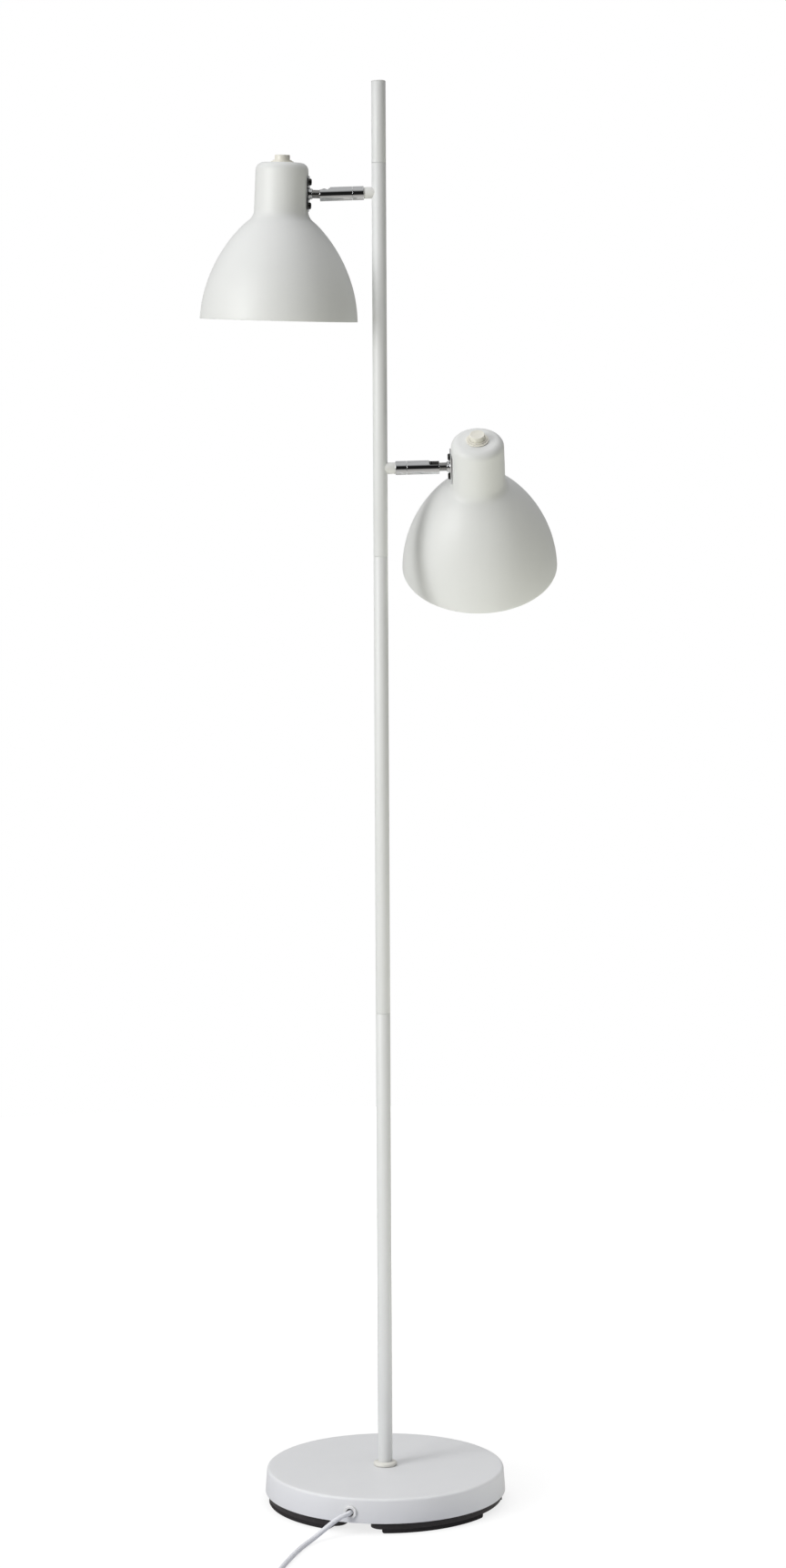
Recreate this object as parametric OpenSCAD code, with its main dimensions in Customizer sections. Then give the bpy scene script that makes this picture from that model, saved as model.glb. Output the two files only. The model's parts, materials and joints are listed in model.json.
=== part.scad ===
// Two-headed floor lamp: round weighted base, sectioned pole, two ball-jointed
// bell shades with push-button switches. Millimetres, +Z up, origin on the floor
// under the pole, the viewer at -Y. Everything turned along an arm is drawn in
// the arm's own frame: +X runs out from the pole's axis, +Z is up.

/* [Base] */
// Diameter of the base cover at its lower rim
base_d = 250; // [220:2:280]
// Radial draw of the base cover's side, rim to top
cover_draw = 1.5; // [0:0.1:4]
// Height of the base cover
cover_h = 26; // [20:1:40]
// Sheet thickness of the base cover
cover_wall = 1.2; // [0.8:0.1:2]
// Radius of the cover's top edge
cover_round = 3; // [2.5:0.5:6]
// Height of the cover's lower rim above the floor
cover_gap = 9; // [6:1:12]
// Radial distance of the cast weight's edge inside the cover's rim
weight_inset = 7; // [6:0.5:12]
// Width of the cord groove in the underside of the weight
groove_w = 25; // [20:1:30]
// Depth of the cord groove
groove_h = 22; // [20:0.5:24]
// Radius of the weight's corners at the groove's mouth
groove_mouth_r = 12; // [4:1:16]
// Direction of the groove, degrees left of the front
groove_turn = 14.5; // [10:0.5:20]
// Direction of the cord hole, degrees left of the front
cord_turn = 16.4; // [14:0.1:18]
// Height of the cord hole's centre above the floor
cord_z = 21; // [19:0.5:22]
// Diameter of the recess for the nut under the weight
recess_d = 44; // [40:1:60]
// Depth of that recess
recess_h = 16; // [14:1:18]
// Height of the foot pads
pad_h = 4; // [3:0.5:6]
// Radial width of a foot pad
pad_w = 23; // [10:1:30]
// Angle that each front foot pad covers
pad_span = 57; // [30:1:60]
// Angle that the rear foot pad covers
rear_pad_span = 160; // [155:1:200]
// Direction of the front foot pads either side of the groove's axis
pad_turn = 41.5; // [40:0.5:50]
// Outer diameter of the collar at the pole's foot
collar_d = 24.5; // [20:0.5:30]
// Height of that collar
collar_h = 4.5; // [3:0.5:8]
// Floor thickness of that collar, under the pole
collar_web = 1.5; // [1:0.1:2.5]

/* [Pole] */
// Outer diameter of the pole tubes
pole_d = 15; // [14.5:0.1:18]
// Wall of the pole tubes
pole_wall = 1; // [0.8:0.1:1.2]
// Length of the lowest tube
tube1_l = 470; // [400:5:550]
// Length of the second tube
tube2_l = 476.5; // [400:0.5:550]
// Length of the third tube, which carries both arms
tube3_l = 411; // [400:1:500]
// Length of the top tube
tube4_l = 85; // [60:5:150]
// Thickness of the end cap on the top tube
cap_t = 1; // [0.8:0.1:2]
// Length of the tapped insert in a tube's upper end
socket_l = 18; // [15:1:18]
// Length of the stud insert in a tube's lower end
insert_l = 15; // [12:1:25]
// Length that a stud stands out of its insert
stud_out = 14; // [10:1:16]
// Thread diameter of the pole's studs and of the base pipe
pipe_d = 10; // [9.5:0.1:10.5]
// Cable bore through the pole's studs and the base pipe
pipe_bore = 7.6; // [6:0.1:8]

/* [Arms] */
// Height of the lower arm above the third tube's lower end
lower_arm_at = 92.1; // [60:0.1:150]
// Depth of the upper arm below the third tube's upper end
upper_arm_drop = 30.8; // [29.5:0.1:60]
// Diameter of the plastic spacer against the pole
spacer_d = 12; // [11:0.5:14]
// Length of the spacer from the pole's surface
spacer_l = 8.4; // [6:0.1:15]
// Diameter of the chrome collar and barrel
barrel_d = 14.4; // [14:0.1:16]
// Length of the fixed chrome collar
swivel_l = 11.6; // [8:0.1:16]
// Running gap between the collar and the barrel
seam_gap = 0.3; // [0.2:0.05:0.5]
// Length of the turning barrel
barrel_l = 33.9; // [33:0.1:45]
// Bore of the barrel round the ball
barrel_bore = 12.4; // [12.2:0.1:12.6]
// Opening of the barrel's lip in front of the ball
lip_d = 10.4; // [9.8:0.1:10.8]
// Thickness of that lip
lip_t = 0.9; // [0.7:0.1:1]
// Width of the barrel's slot
slot_w = 10.4; // [9.8:0.1:10.8]
// Length of the barrel's slot
slot_l = 10.7; // [10.2:0.1:12]
// Thread diameter of the arm's hollow pipe
nipple_d = 8; // [7.8:0.1:8.4]
// Cable bore of the arm's pipe
nipple_bore = 5.6; // [4.5:0.1:6]
// Diameter of the ball
ball_d = 11.8; // [11.6:0.1:11.8]
// Distance of the ball's centre behind the barrel's mouth
ball_inset = 4.5; // [4.4:0.1:4.8]
// Diameter of the ball's stem
stem_d = 8.8; // [8.4:0.1:9]
// Cable bore of the ball and stem
stem_bore = 5.4; // [4:0.1:6]
// Distance from the ball's centre to the mounting plate
stem_l = 15.8; // [15.2:0.1:20]
// Length of the stem behind the mounting plate's face
stem_tail = 8.7; // [8:0.1:9]

/* [Shade fastening] */
// Diameter of the round mounting plate
plate_d = 38; // [36:0.5:40]
// Thickness of the mounting plate
plate_t = 1.2; // [1:0.1:2]
// Distance between the two plate screws
screw_span = 24.7; // [24:0.1:27]
// Diameter of the plate screws' heads
screw_head_d = 7.2; // [6:0.1:8]
// Height of those heads
screw_head_h = 2.5; // [2:0.1:3]
// Shank diameter of the plate screws
screw_d = 3.5; // [3:0.1:4]
// Diameter of the round nut outside the plate
hub_d = 11.2; // [10.8:0.1:12]
// Length of that nut
hub_l = 3.8; // [3:0.1:4]
// Diameter of the flange on that nut
hub_flange_d = 13; // [12.5:0.1:14]
// Width across the flats of the nut inside the shade
locknut_af = 13; // [12:0.5:14]
// Thickness of the nut inside the shade
locknut_t = 4; // [3:0.1:4.5]
// Sheet thickness of the bracket inside the shade
bracket_t = 1.2; // [1:0.1:1.5]
// Width of that bracket
bracket_w = 14; // [12:0.5:16]

/* [Shade] */
// Sheet thickness of the shade
shade_wall = 1; // [0.8:0.1:1.2]
// Height of the neck's top above the arm's axis
neck_top = 32; // [31:0.5:40]
// Neck diameter at its top
neck_top_d = 55.4; // [54:0.2:56]
// Neck diameter where the shoulder begins
neck_foot_d = 56.8; // [56:0.2:60]
// Radius of the neck's top edge
neck_round = 8.5; // [6:0.5:10]
// Depth below the arm's axis where the shoulder begins
shoulder_at = 17.6; // [17.6:0.2:24]
// Radius of the hollow shoulder between neck and dome
shoulder_r = 14; // [10:0.5:16]
// Slope at which the dome starts, degrees below level
dome_slope = 37.5; // [30:0.5:50]
// Diameter of the shade's rim
rim_d = 165.4; // [150:1:180]
// Depth of the rim below the arm's axis
rim_at = 132.3; // [115:1:150]
// Outward flare of the dome at the rim, degrees
rim_flare = 2; // [0:0.5:6]
// Length of the dome curve's pull at the rim
rim_pull = 56; // [40:1:65]
// Length of the dome curve's pull at the shoulder
shoulder_pull = 15; // [10:1:30]
// Depth of the pressed flat that the plate sits on
seat_depth = 0.4; // [0.2:0.1:0.6]
// Thickness of the neck behind that flat
seat_t = 2; // [2:0.1:2.5]

/* [Switch and lampholder] */
// Diameter of the push button
button_d = 16; // [14:0.5:17]
// Height of the button's top above the neck
button_h = 8; // [7:0.5:10]
// Travel of the button
button_travel = 2.5; // [2:0.1:3]
// Outer diameter of the switch's threaded bush
bush_d = 20; // [19:0.2:21]
// Height of the bush's end above the neck
bush_out = 2.6; // [2.2:0.1:3.5]
// Diameter of the ring nut round the bush
ring_d = 23.8; // [23:0.2:26]
// Thickness of that ring nut
ring_t = 1.5; // [1.2:0.1:2]
// Diameter of the switch's body inside the neck
switch_d = 24; // [22:0.5:26]
// Height of the switch's body
switch_h = 17; // [16:0.5:18]
// Outer diameter of the lampholder
holder_d = 38; // [36:0.5:39]
// Depth of the lampholder's mouth below the arm's axis
holder_at = 34; // [32:0.5:40]
// Height of the bracket's tongue above the arm's axis
tongue_at = 7.8; // [7.8:0.1:8.2]
// Bore of the lamp socket's screw shell
socket_bore = 27; // [26.5:0.1:27.5]
// Length of the screw shell
shell_l = 22; // [18:1:24]
// Sheet thickness of the screw shell
shell_t = 0.5; // [0.3:0.1:0.8]

/* [Pose in the photograph] */
// Droop of the upper arm, degrees
upper_droop = 1.6; // [0:0.1:2]
// Rise of the lower arm, degrees
lower_rise = 1.2; // [0:0.1:2]
// Turn of the lower barrel's slot towards the viewer, degrees
lower_slot_turn = 22; // [0:1:90]
// Rise of the upper stem above its arm, degrees
upper_stem_rise = 3.6; // [0:0.1:4]
// Rise of the lower stem above its arm, degrees
lower_stem_rise = 0.8; // [0:0.1:4]
// Turn of the upper stem away from the viewer, degrees
upper_stem_yaw = 3.5; // [0:0.1:3.5]
// Lean of the upper shade's top towards the viewer, degrees
upper_lean = 4.5; // [0:0.5:90]
// Lean of the lower shade's top towards the viewer, degrees
lower_lean = 38; // [0:1:90]

/* [Cord] */
// Diameter of the mains cord
cord_d = 5; // [4.8:0.1:5.2]
// Diameter of the twin lead inside the lamp
lead_d = 3.8; // [3.4:0.1:4]
// Outer diameter of the grommet's flange
grommet_d = 13.5; // [12.5:0.5:15]
// Bore of the grommet
grommet_bore = 8; // [7.5:0.1:8.5]
// Innermost radius of the coil, at the cord's centre
coil_r = 18.5; // [18.5:0.5:24]
// Turns of the lower layer, spiralling in
turns_in = 4; // [3:1:5]
// Turns of the upper layer, spiralling out
turns_out = 4.25; // [3.25:1:5.25]
// Step between neighbouring turns and between the layers
coil_pitch = 5.5; // [5.5:0.05:6]
// Thickness of the tie round the coil
tie_t = 0.8; // [0.6:0.1:1]
// Width of that tie
tie_w = 6; // [4:0.5:10]
// Width of the flat mains plug
plug_w = 35.3; // [33:0.1:36]
// Height of the plug
plug_h = 13.7; // [12:0.1:15]
// Length of the plug's body
plug_l = 36; // [32:1:42]
// Distance between the plug's pins
pin_span = 19; // [18:0.1:20]
// Diameter of the plug's pins
pin_d = 4; // [3.8:0.1:4.8]
// Length of the pins outside the body
pin_l = 19; // [17:0.5:20]

/* [Hidden] */
$fn = 64;
fit = 0.05;            // radial clearance of pieces that sit in each other
slack = 0.3;           // clearance of pieces that move past each other
eps = 0.01;            // overrun of a cut past a face
UPPER = 0;
LOWER = 1;

paint = "white";
chrome = [0.72, 0.73, 0.75];
cream = [0.93, 0.92, 0.87];
black = [0.1, 0.1, 0.11];
steel = [0.6, 0.6, 0.62];
brass = [0.78, 0.65, 0.35];

// Base levels
base_top_d = base_d - 2 * cover_draw;
weight_d = base_d - 2 * weight_inset;
base_top_z = cover_gap + cover_h;
ceiling_z = base_top_z - cover_wall;
groove_z = pad_h + groove_h;
recess_z = pad_h + recess_h;
nut_t = 5;
nut_af = 17;
washer_t = 1.5;
washer_d = 26;
base_pipe_z = recess_z - washer_t - nut_t;
base_pipe_up = 20;
spigot_clear = 0.3;    // clearance of holes round threaded pipes

// Pole levels
pole_r = pole_d / 2;
pole_ir = pole_r - pole_wall;
foot_z = base_top_z + collar_web;
joint1_z = foot_z + tube1_l;
joint2_z = joint1_z + tube2_l;
joint3_z = joint2_z + tube3_l;
tube_top_z = joint3_z + tube4_l;
cap_plug_l = 10;
arm_z = [joint3_z - upper_arm_drop, joint2_z + lower_arm_at];
anchor_h = 22;
anchor_bore = 6;

// Places along an arm, from the pole's axis
nipple_x = 3;
collar_x = pole_r + spacer_l;
barrel_x = collar_x + swivel_l + seam_gap;
mouth_x = barrel_x + barrel_l;
ball_x = mouth_x - ball_inset;
end_wall = 3;
step_x = barrel_x + 8.2;       // where the barrel's bore widens
washer_stack = 2.4;
washer_count = 3;
washer_play = 0.1;             // gap between neighbouring spring washers
seat_x = ball_x - 5;           // front face of the ball's seat
nut_bore = 11;                 // barrel's bore round the swivel nut
swivel_nut_d = 10.4;
swivel_nut_l = 3.5;
plate_x = ball_x + stem_l;
flat_x = plate_x + plate_t;    // the pressed flat on the neck
chamfer = 0.5;

// Shade outline in its own frame: r from the shade's axis, z from the arm's axis
neck_top_r = neck_top_d / 2;
neck_foot_r = neck_foot_d / 2;
neck_arm_r = neck_foot_r
  - (neck_foot_r - neck_top_r) * shoulder_at / (shoulder_at + neck_top - neck_round);
shade_x = flat_x - seat_depth + neck_arm_r;
dome_start = [neck_foot_r + shoulder_r * (1 - sin(dome_slope)),
              -shoulder_at - shoulder_r * cos(dome_slope)];
dome_end = [rim_d / 2, -rim_at];
dome_pulls = [dome_start + shoulder_pull * [cos(dome_slope), -sin(dome_slope)],
              dome_end + rim_pull * [-sin(rim_flare), cos(rim_flare)]];
dome_steps = 20;
arc_step = 10;

// Switch and lampholder levels
switch_z = neck_top - shade_wall - switch_h;
button_in = 10;                // length of the button below the neck's top
holder_z = tongue_at;
tongue_t = bracket_t;
shell_z = -holder_at + 1;      // mouth end of the screw shell
skirt_wall = 2;

// Turns of the two heads, upper then lower
arm_turn = [180, 0];
arm_rise = [-upper_droop, lower_rise];
slot_turn = [0, lower_slot_turn];
stem_rise = [upper_stem_rise, lower_stem_rise];
stem_yaw = [-upper_stem_yaw, 0];
lean = [-upper_lean, lower_lean];

// The cord's free stretches: round points chosen by hand
cord_low = 2.5;
route = [
  [-28.2, -95.9, 21], [-31.1, -105.5, 21], [-33.6, -114.2, 21], [-35.7, -120.8, 20.9],
  [-38.4, -124.4, 20.4], [-42.3, -127.2, 19.4], [-46.9, -129.9, 17.7],
  [-51.9, -132.9, 15.2], [-57, -136.4, 12.1], [-62.2, -140.4, 8.9],
  [-67.3, -145.2, 6.1], [-72.2, -151.2, 4], [-76.8, -159.2, 2.9], [-81, -169, 2.5],
  [-85.2, -181.5, 2.5], [-89.6, -196, 2.5], [-93.9, -212, 2.5], [-98, -228, 2.5],
  [-101.8, -244, 2.5], [-105.2, -259, 2.5], [-108.2, -273, 2.7], [-110.2, -285, 3.1],
  [-111, -294, 3.3], [-111, -303, 3.3]
];
coil_c = [-70.5, -308, 3.3];   // centre of the coil's lowest layer
tail = [
  [-65.5, -349.875, 8.8], [-60.5, -349.875, 8.8], [-53, -349, 8.6], [-45, -346, 8],
  [-37, -341.5, 7.3], [-29, -337, 6.9], [-20, -334.5, 6.85], [-12, -334, 6.85],
  [-6, -334, 6.85]
];
lead_route = [                 // radial distance from the pole's axis, height
  [99.9, 21], [90, 20.6], [70, 17.5], [50, 12.5], [34, 8.6], [22, 6.8], [14, 6.3],
  [8.4, 7], [4.4, 9.2], [1.8, 12.8], [0.5, 17.5], [0, 24], [0, 60]
];
pin_root_d = 3;                // the pins' roots, moulded into the plug
pin_root_l = 6;
cord_sides = 8;
coil_sides = 6;
coil_rings = 24;

// ---- Helpers -------------------------------------------------------------

function unit(v) = v / norm(v);

function arc(c, r, a0, a1, step = arc_step) =
  let (n = ceil(abs(a1 - a0) / step))
  [for (i = [0:n]) let (a = a0 + (a1 - a0) * i / n) c + r * [cos(a), sin(a)]];

function bezier(p0, p1, p2, p3, n) =
  [for (i = [1:n]) let (t = i / n, u = 1 - t)
    u * u * u * p0 + 3 * u * u * t * p1 + 3 * u * t * t * p2 + t * t * t * p3];

// A path moved inwards by t, inwards being to the right of its run
function inset(p, t) =
  [for (i = [0:len(p) - 1])
    let (d = unit(p[min(i + 1, len(p) - 1)] - p[max(i - 1, 0)]))
    p[i] + t * [d[1], -d[0]]];

function reversed(p) = [for (i = [len(p) - 1:-1:0]) p[i]];

function tangent(p, i) = unit(p[min(i + 1, len(p) - 1)] - p[max(i - 1, 0)]);

function square_to(n, t) = unit(n - (n * t) * t);

// A round tube swept along a path, its rings carried along without twist
module tube(path, d, sides) {
  start = square_to(abs(tangent(path, 0)[2]) < 0.9 ? [0, 0, 1] : [1, 0, 0],
                    tangent(path, 0));
  sides_n = [for (i = 0, n = start; i < len(path);
                  i = i + 1, n = i < len(path) ? square_to(n, tangent(path, i)) : n) n];
  rings = [for (i = [0:len(path) - 1]) for (j = [0:sides - 1])
    let (n = sides_n[i], b = cross(tangent(path, i), n), a = 360 * j / sides)
    path[i] + d / 2 * (cos(a) * n + sin(a) * b)];
  last = (len(path) - 1) * sides;
  walls = [for (i = [0:len(path) - 2]) for (j = [0:sides - 1])
    let (a = i * sides + j, b = i * sides + (j + 1) % sides)
    each [[a, a + sides, b + sides], [a, b + sides, b]]];
  ends = [[for (j = [0:sides - 1]) j], [for (j = [sides - 1:-1:0]) last + j]];
  polyhedron(points = rings, faces = concat(walls, ends));
}

module along_x(x) { translate([x, 0, 0]) rotate([0, 90, 0]) children(); }

// A rod along X from x0 to x1
module rod(d, x0, x1) { along_x(x0) cylinder(d = d, h = x1 - x0); }

// A rod along X with both its edges broken
module broken_rod(d, x0, x1, c) {
  along_x(x0) rotate_extrude() polygon([
    [0, 0], [d / 2 - c, 0], [d / 2, c], [d / 2, x1 - x0 - c],
    [d / 2 - c, x1 - x0], [0, x1 - x0]
  ]);
}

module tube_z(d, bore, z0, z1) {
  difference() {
    translate([0, 0, z0]) cylinder(d = d, h = z1 - z0);
    translate([0, 0, z0 - eps]) cylinder(d = bore, h = z1 - z0 + 2 * eps);
  }
}

// Frames: an arm, its barrel turned to the slot, and the head beyond the ball
module on_arm(h) {
  translate([0, 0, arm_z[h]]) rotate([0, 0, arm_turn[h]]) rotate([0, -arm_rise[h], 0])
    children();
}

module on_barrel(h) { on_arm(h) rotate([slot_turn[h], 0, 0]) children(); }

module on_head(h) {
  on_arm(h) translate([ball_x, 0, 0]) rotate([0, 0, stem_yaw[h]])
    rotate([0, -stem_rise[h], 0]) rotate([lean[h], 0, 0]) translate([-ball_x, 0, 0])
    children();
}

// The cord hole's frame: +X runs out along the hole, from the pole's axis
module on_cord_hole() { rotate([0, 0, 270 - cord_turn]) children(); }

// ---- Base ----------------------------------------------------------------

module cover_profile(shrink) {
  top = base_top_z - shrink;
  r_top = base_top_d / 2 - shrink;
  r_low = base_d / 2 - shrink;
  round_r = cover_round - shrink;
  polygon(concat(
    [[0, cover_gap - (shrink > 0 ? eps : 0)]], [[0, top]],
    arc([r_top - round_r, top - round_r], round_r, 90, 0),
    [[r_low, cover_gap - (shrink > 0 ? eps : 0)]]
  ));
}

module base_cover() {
  color(paint) difference() {
    rotate_extrude($fn = 128) cover_profile(0);
    rotate_extrude($fn = 128) cover_profile(cover_wall);
    translate([0, 0, cover_gap]) cylinder(d = pipe_d + 2 * spigot_clear, h = cover_h + 1);
    on_cord_hole() translate([0, 0, cord_z])
      rod(grommet_bore + 2.4, base_d / 2 - 10, base_d / 2 + 10);
  }
}

// Plan of the cord groove: straight walls, and corners rounded into the weight's edge
module groove_plan() {
  edge_r = weight_d / 2;
  c_y = groove_w / 2 + groove_mouth_r;
  c_x = sqrt(pow(edge_r - groove_mouth_r, 2) - c_y * c_y);
  past = edge_r + groove_mouth_r;
  translate([0, -groove_w / 2]) square([past, groove_w]);
  for (side = [0, 1]) mirror([0, side, 0]) difference() {
    polygon([
      [c_x, groove_w / 2 - eps], [past, groove_w / 2 - eps], past * unit([c_x, c_y]),
      [c_x, c_y]
    ]);
    translate([c_x, c_y]) circle(r = groove_mouth_r);
  }
}

// The black cast weight, with its cord groove and its recess for the nut
module base_weight() {
  color(black) difference() {
    translate([0, 0, pad_h]) cylinder(d = weight_d, h = ceiling_z - pad_h);
    translate([0, 0, pad_h - eps]) cylinder(d = recess_d, h = recess_h + eps);
    cylinder(d = pipe_d + 2 * spigot_clear, h = base_top_z);
    rotate([0, 0, 270 - groove_turn]) translate([0, 0, pad_h - eps])
      linear_extrude(groove_h + eps) groove_plan();
  }
}

module foot_pads() {
  pads = [[pad_turn, pad_span], [-pad_turn, pad_span], [180, rear_pad_span]];
  color(black) for (pad = pads)
    rotate([0, 0, 270 - groove_turn + pad[0] - pad[1] / 2])
      rotate_extrude(angle = pad[1]) translate([weight_d / 2 - pad_w, 0])
        square([pad_w, pad_h]);
}

module base_collar() {
  edge = (collar_h - 0.5) / 2;
  color(cream) translate([0, 0, base_top_z]) difference() {
    rotate_extrude() polygon(concat(
      [[0, 0]], arc([collar_d / 2 - edge, edge], edge, -90, 60),
      [[pole_r + 1.2, collar_h]], [[0, collar_h]]
    ));
    translate([0, 0, collar_web]) cylinder(r = pole_r + fit, h = collar_h);
    translate([0, 0, -1]) cylinder(d = pipe_d + 2 * spigot_clear, h = collar_h);
  }
}

module base_pipe() {
  color(steel) tube_z(pipe_d, pipe_bore, base_pipe_z, foot_z + base_pipe_up);
}

// The hexagon nut and washer that clamp cover, weight and pole together
module base_nut() {
  color(steel) {
    difference() {
      translate([0, 0, recess_z - washer_t - nut_t])
        cylinder(d = nut_af / cos(30), h = nut_t, $fn = 6);
      translate([0, 0, pad_h]) cylinder(r = pipe_d / 2 + fit, h = cover_h);
    }
    tube_z(washer_d, pipe_d + 2 * spigot_clear, recess_z - washer_t, recess_z);
  }
}

module cord_grommet() {
  flange_t = 1.6;
  inner_t = 1.5;
  outer = base_d / 2;
  color(paint) on_cord_hole() difference() {
    translate([0, 0, cord_z]) union() {
      broken_rod(grommet_d, outer - 2, outer + flange_t, 0.6);
      rod(grommet_bore + 2.2, outer - cover_wall - inner_t - 1, outer);
    }
    translate([0, 0, cord_z])
      rod(grommet_bore, outer - 2 * cover_wall - inner_t - 2, outer + flange_t + 1);
    intersection() {
      rotate_extrude($fn = 128) cover_profile(0);
      difference() {
        translate([outer - 8, -grommet_d, 0]) cube([8 + eps, 2 * grommet_d, base_top_z]);
        translate([0, 0, cord_z]) rod(grommet_bore + 2.3, outer - 9, outer + 1);
      }
    }
  }
}

// The block that grips the cord inside the groove
module cord_clamp() {
  clamp_x = weight_d / 2 - 22;
  clamp_l = 12;
  clamp_w = 14;
  color(black) on_cord_hole() difference() {
    translate([clamp_x, -clamp_w / 2, cord_z - cord_d])
      cube([clamp_l, clamp_w, groove_z - cord_z + cord_d]);
    translate([0, 0, cord_z]) rod(cord_d + 2 * fit, clamp_x - 1, clamp_x + clamp_l + 1);
  }
}

module inner_lead() {
  lead_top = arm_z[UPPER] + anchor_h / 2;
  dir = [-sin(cord_turn), -cos(cord_turn)];
  path = concat(
    [for (p = lead_route) [p[0] * dir[0], p[0] * dir[1], p[1]]],
    [[0, 0, arm_z[LOWER]], [0, 0, lead_top]]
  );
  color(paint) tube(path, lead_d, cord_sides);
}

// ---- Pole ----------------------------------------------------------------

module pole_tube(z0, z1) {
  color(paint) tube_z(pole_d, 2 * pole_ir, z0, z1);
}

module pole_lower() { pole_tube(foot_z, joint1_z); }

module pole_middle() { pole_tube(joint1_z, joint2_z); }

module pole_upper() {
  color(paint) difference() {
    tube_z(pole_d, 2 * pole_ir, joint2_z, joint3_z);
    for (h = [UPPER, LOWER]) on_arm(h) rod(nipple_d + 2 * spigot_clear, 0, pole_d);
  }
}

module pole_top() { pole_tube(joint3_z, tube_top_z); }

module pole_cap() {
  color(cream) {
    translate([0, 0, tube_top_z]) rotate_extrude() polygon([
      [0, 0], [pole_r, 0], [pole_r, cap_t / 2], [pole_r - cap_t / 2, cap_t], [0, cap_t]
    ]);
    translate([0, 0, tube_top_z - cap_plug_l])
      cylinder(r = pole_ir - fit, h = cap_plug_l + eps);
  }
}

// Tapped inserts: one in the pole's foot, and one in the upper end of three tubes
module pole_sockets() {
  bore = pipe_d + 2 * fit;
  color(steel) {
    tube_z(2 * (pole_ir - fit), bore, foot_z, foot_z + socket_l);
    for (z = [joint1_z, joint2_z, joint3_z])
      tube_z(2 * (pole_ir - fit), bore, z - socket_l, z);
  }
}

// Hollow stud inserts in the lower end of three tubes
module pole_studs() {
  color(steel) for (z = [joint1_z, joint2_z, joint3_z]) difference() {
    union() {
      translate([0, 0, z]) cylinder(r = pole_ir - fit, h = insert_l);
      translate([0, 0, z - stud_out]) cylinder(d = pipe_d, h = stud_out + eps);
    }
    translate([0, 0, z - stud_out - 1]) cylinder(d = pipe_bore, h = stud_out + insert_l + 2);
  }
}

// ---- Arm -----------------------------------------------------------------

// Tapped plug inside the pole that the arm screws into
module arm_anchor(h) {
  color(steel) difference() {
    translate([0, 0, arm_z[h] - anchor_h / 2]) cylinder(r = pole_ir - fit, h = anchor_h);
    translate([0, 0, arm_z[h] - anchor_h]) cylinder(d = anchor_bore, h = 2 * anchor_h);
    on_arm(h) rod(nipple_d + 2 * fit, 0, pole_d);
  }
}

module arm_pipe() {
  color(steel) difference() {
    rod(nipple_d, nipple_x, barrel_x + end_wall + slack + swivel_nut_l + 1);
    rod(nipple_bore, 0, mouth_x);
  }
}

module arm_spacer(h) {
  color(cream) difference() {
    on_arm(h) rod(spacer_d, 0, collar_x);
    on_arm(h) rod(nipple_d + 2 * spigot_clear, -1, mouth_x);
    translate([0, 0, arm_z[h] - spacer_d]) cylinder(r = pole_r, h = 2 * spacer_d);
  }
}

module swivel_collar() {
  color(chrome) difference() {
    broken_rod(barrel_d, collar_x, barrel_x - seam_gap, chamfer);
    rod(nipple_d + 2 * fit, 0, mouth_x);
  }
}

// Round nut with two key slots, which holds the barrel on the arm's pipe
module swivel_nut() {
  x = barrel_x + end_wall + slack;
  key = 1.2;
  color(steel) difference() {
    rod(swivel_nut_d, x, x + swivel_nut_l);
    rod(nipple_d + 2 * fit, 0, mouth_x);
    translate([x + swivel_nut_l - 1, -swivel_nut_d, -key / 2])
      cube([1 + eps, 2 * swivel_nut_d, key]);
  }
}

module barrel() {
  color(chrome) difference() {
    broken_rod(barrel_d, barrel_x, mouth_x, chamfer);
    rod(nipple_d + 2 * fit, 0, mouth_x);
    rod(nut_bore, barrel_x + end_wall, mouth_x - lip_t);
    rod(barrel_bore, step_x, mouth_x - lip_t);
    rod(lip_d, mouth_x - lip_t - 1, mouth_x + 1);
    translate([mouth_x - slot_l + slot_w / 2, 0, 0]) cylinder(d = slot_w, h = barrel_d);
    translate([mouth_x - slot_l + slot_w / 2, -slot_w / 2, 0])
      cube([slot_l, slot_w, barrel_d]);
  }
}

module spring_washers() {
  pitch = washer_stack / washer_count;
  color(steel) for (i = [0:washer_count - 1]) difference() {
    rod(barrel_bore - 2 * fit, step_x + i * pitch, step_x + (i + 1) * pitch - washer_play);
    rod(nipple_d, 0, mouth_x);
  }
}

// Plastic seat with a hollow for the ball
module ball_seat() {
  color(cream) difference() {
    rod(barrel_bore - 2 * fit, step_x + washer_stack, seat_x);
    translate([ball_x, 0, 0]) sphere(d = ball_d + 2 * slack);
    rod(nipple_bore, 0, mouth_x);
  }
}

module ball_stud() {
  color(chrome) difference() {
    union() {
      translate([ball_x, 0, 0]) sphere(d = ball_d);
      rod(stem_d, ball_x, plate_x + stem_tail);
    }
    rod(stem_bore, 0, shade_x);
  }
}

// ---- Shade fastening -----------------------------------------------------

// The flanged round nut outside the plate and the hexagon nut inside the shade
module stud_nuts() {
  flange_t = 1;
  nose = 0.8;
  inside_x = flat_x + seat_t + bracket_t;
  color(chrome) difference() {
    union() {
      along_x(plate_x - hub_l) rotate_extrude() polygon([
        [0, 0], [hub_d / 2 - nose, 0], [hub_d / 2, nose], [hub_d / 2, hub_l - flange_t],
        [hub_flange_d / 2, hub_l - flange_t], [hub_flange_d / 2, hub_l], [0, hub_l]
      ]);
      along_x(inside_x) cylinder(d = locknut_af / cos(30), h = locknut_t, $fn = 6);
    }
    rod(stem_d + 2 * fit, 0, shade_x);
  }
}

module mount_plate() {
  color(chrome) difference() {
    broken_rod(plate_d, plate_x, flat_x, plate_t / 3);
    rod(stem_d + 2 * slack, 0, shade_x);
    for (s = [-1, 1]) translate([0, 0, s * screw_span / 2])
      rod(screw_d + 2 * slack, plate_x - 1, flat_x + 1);
  }
}

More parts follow.
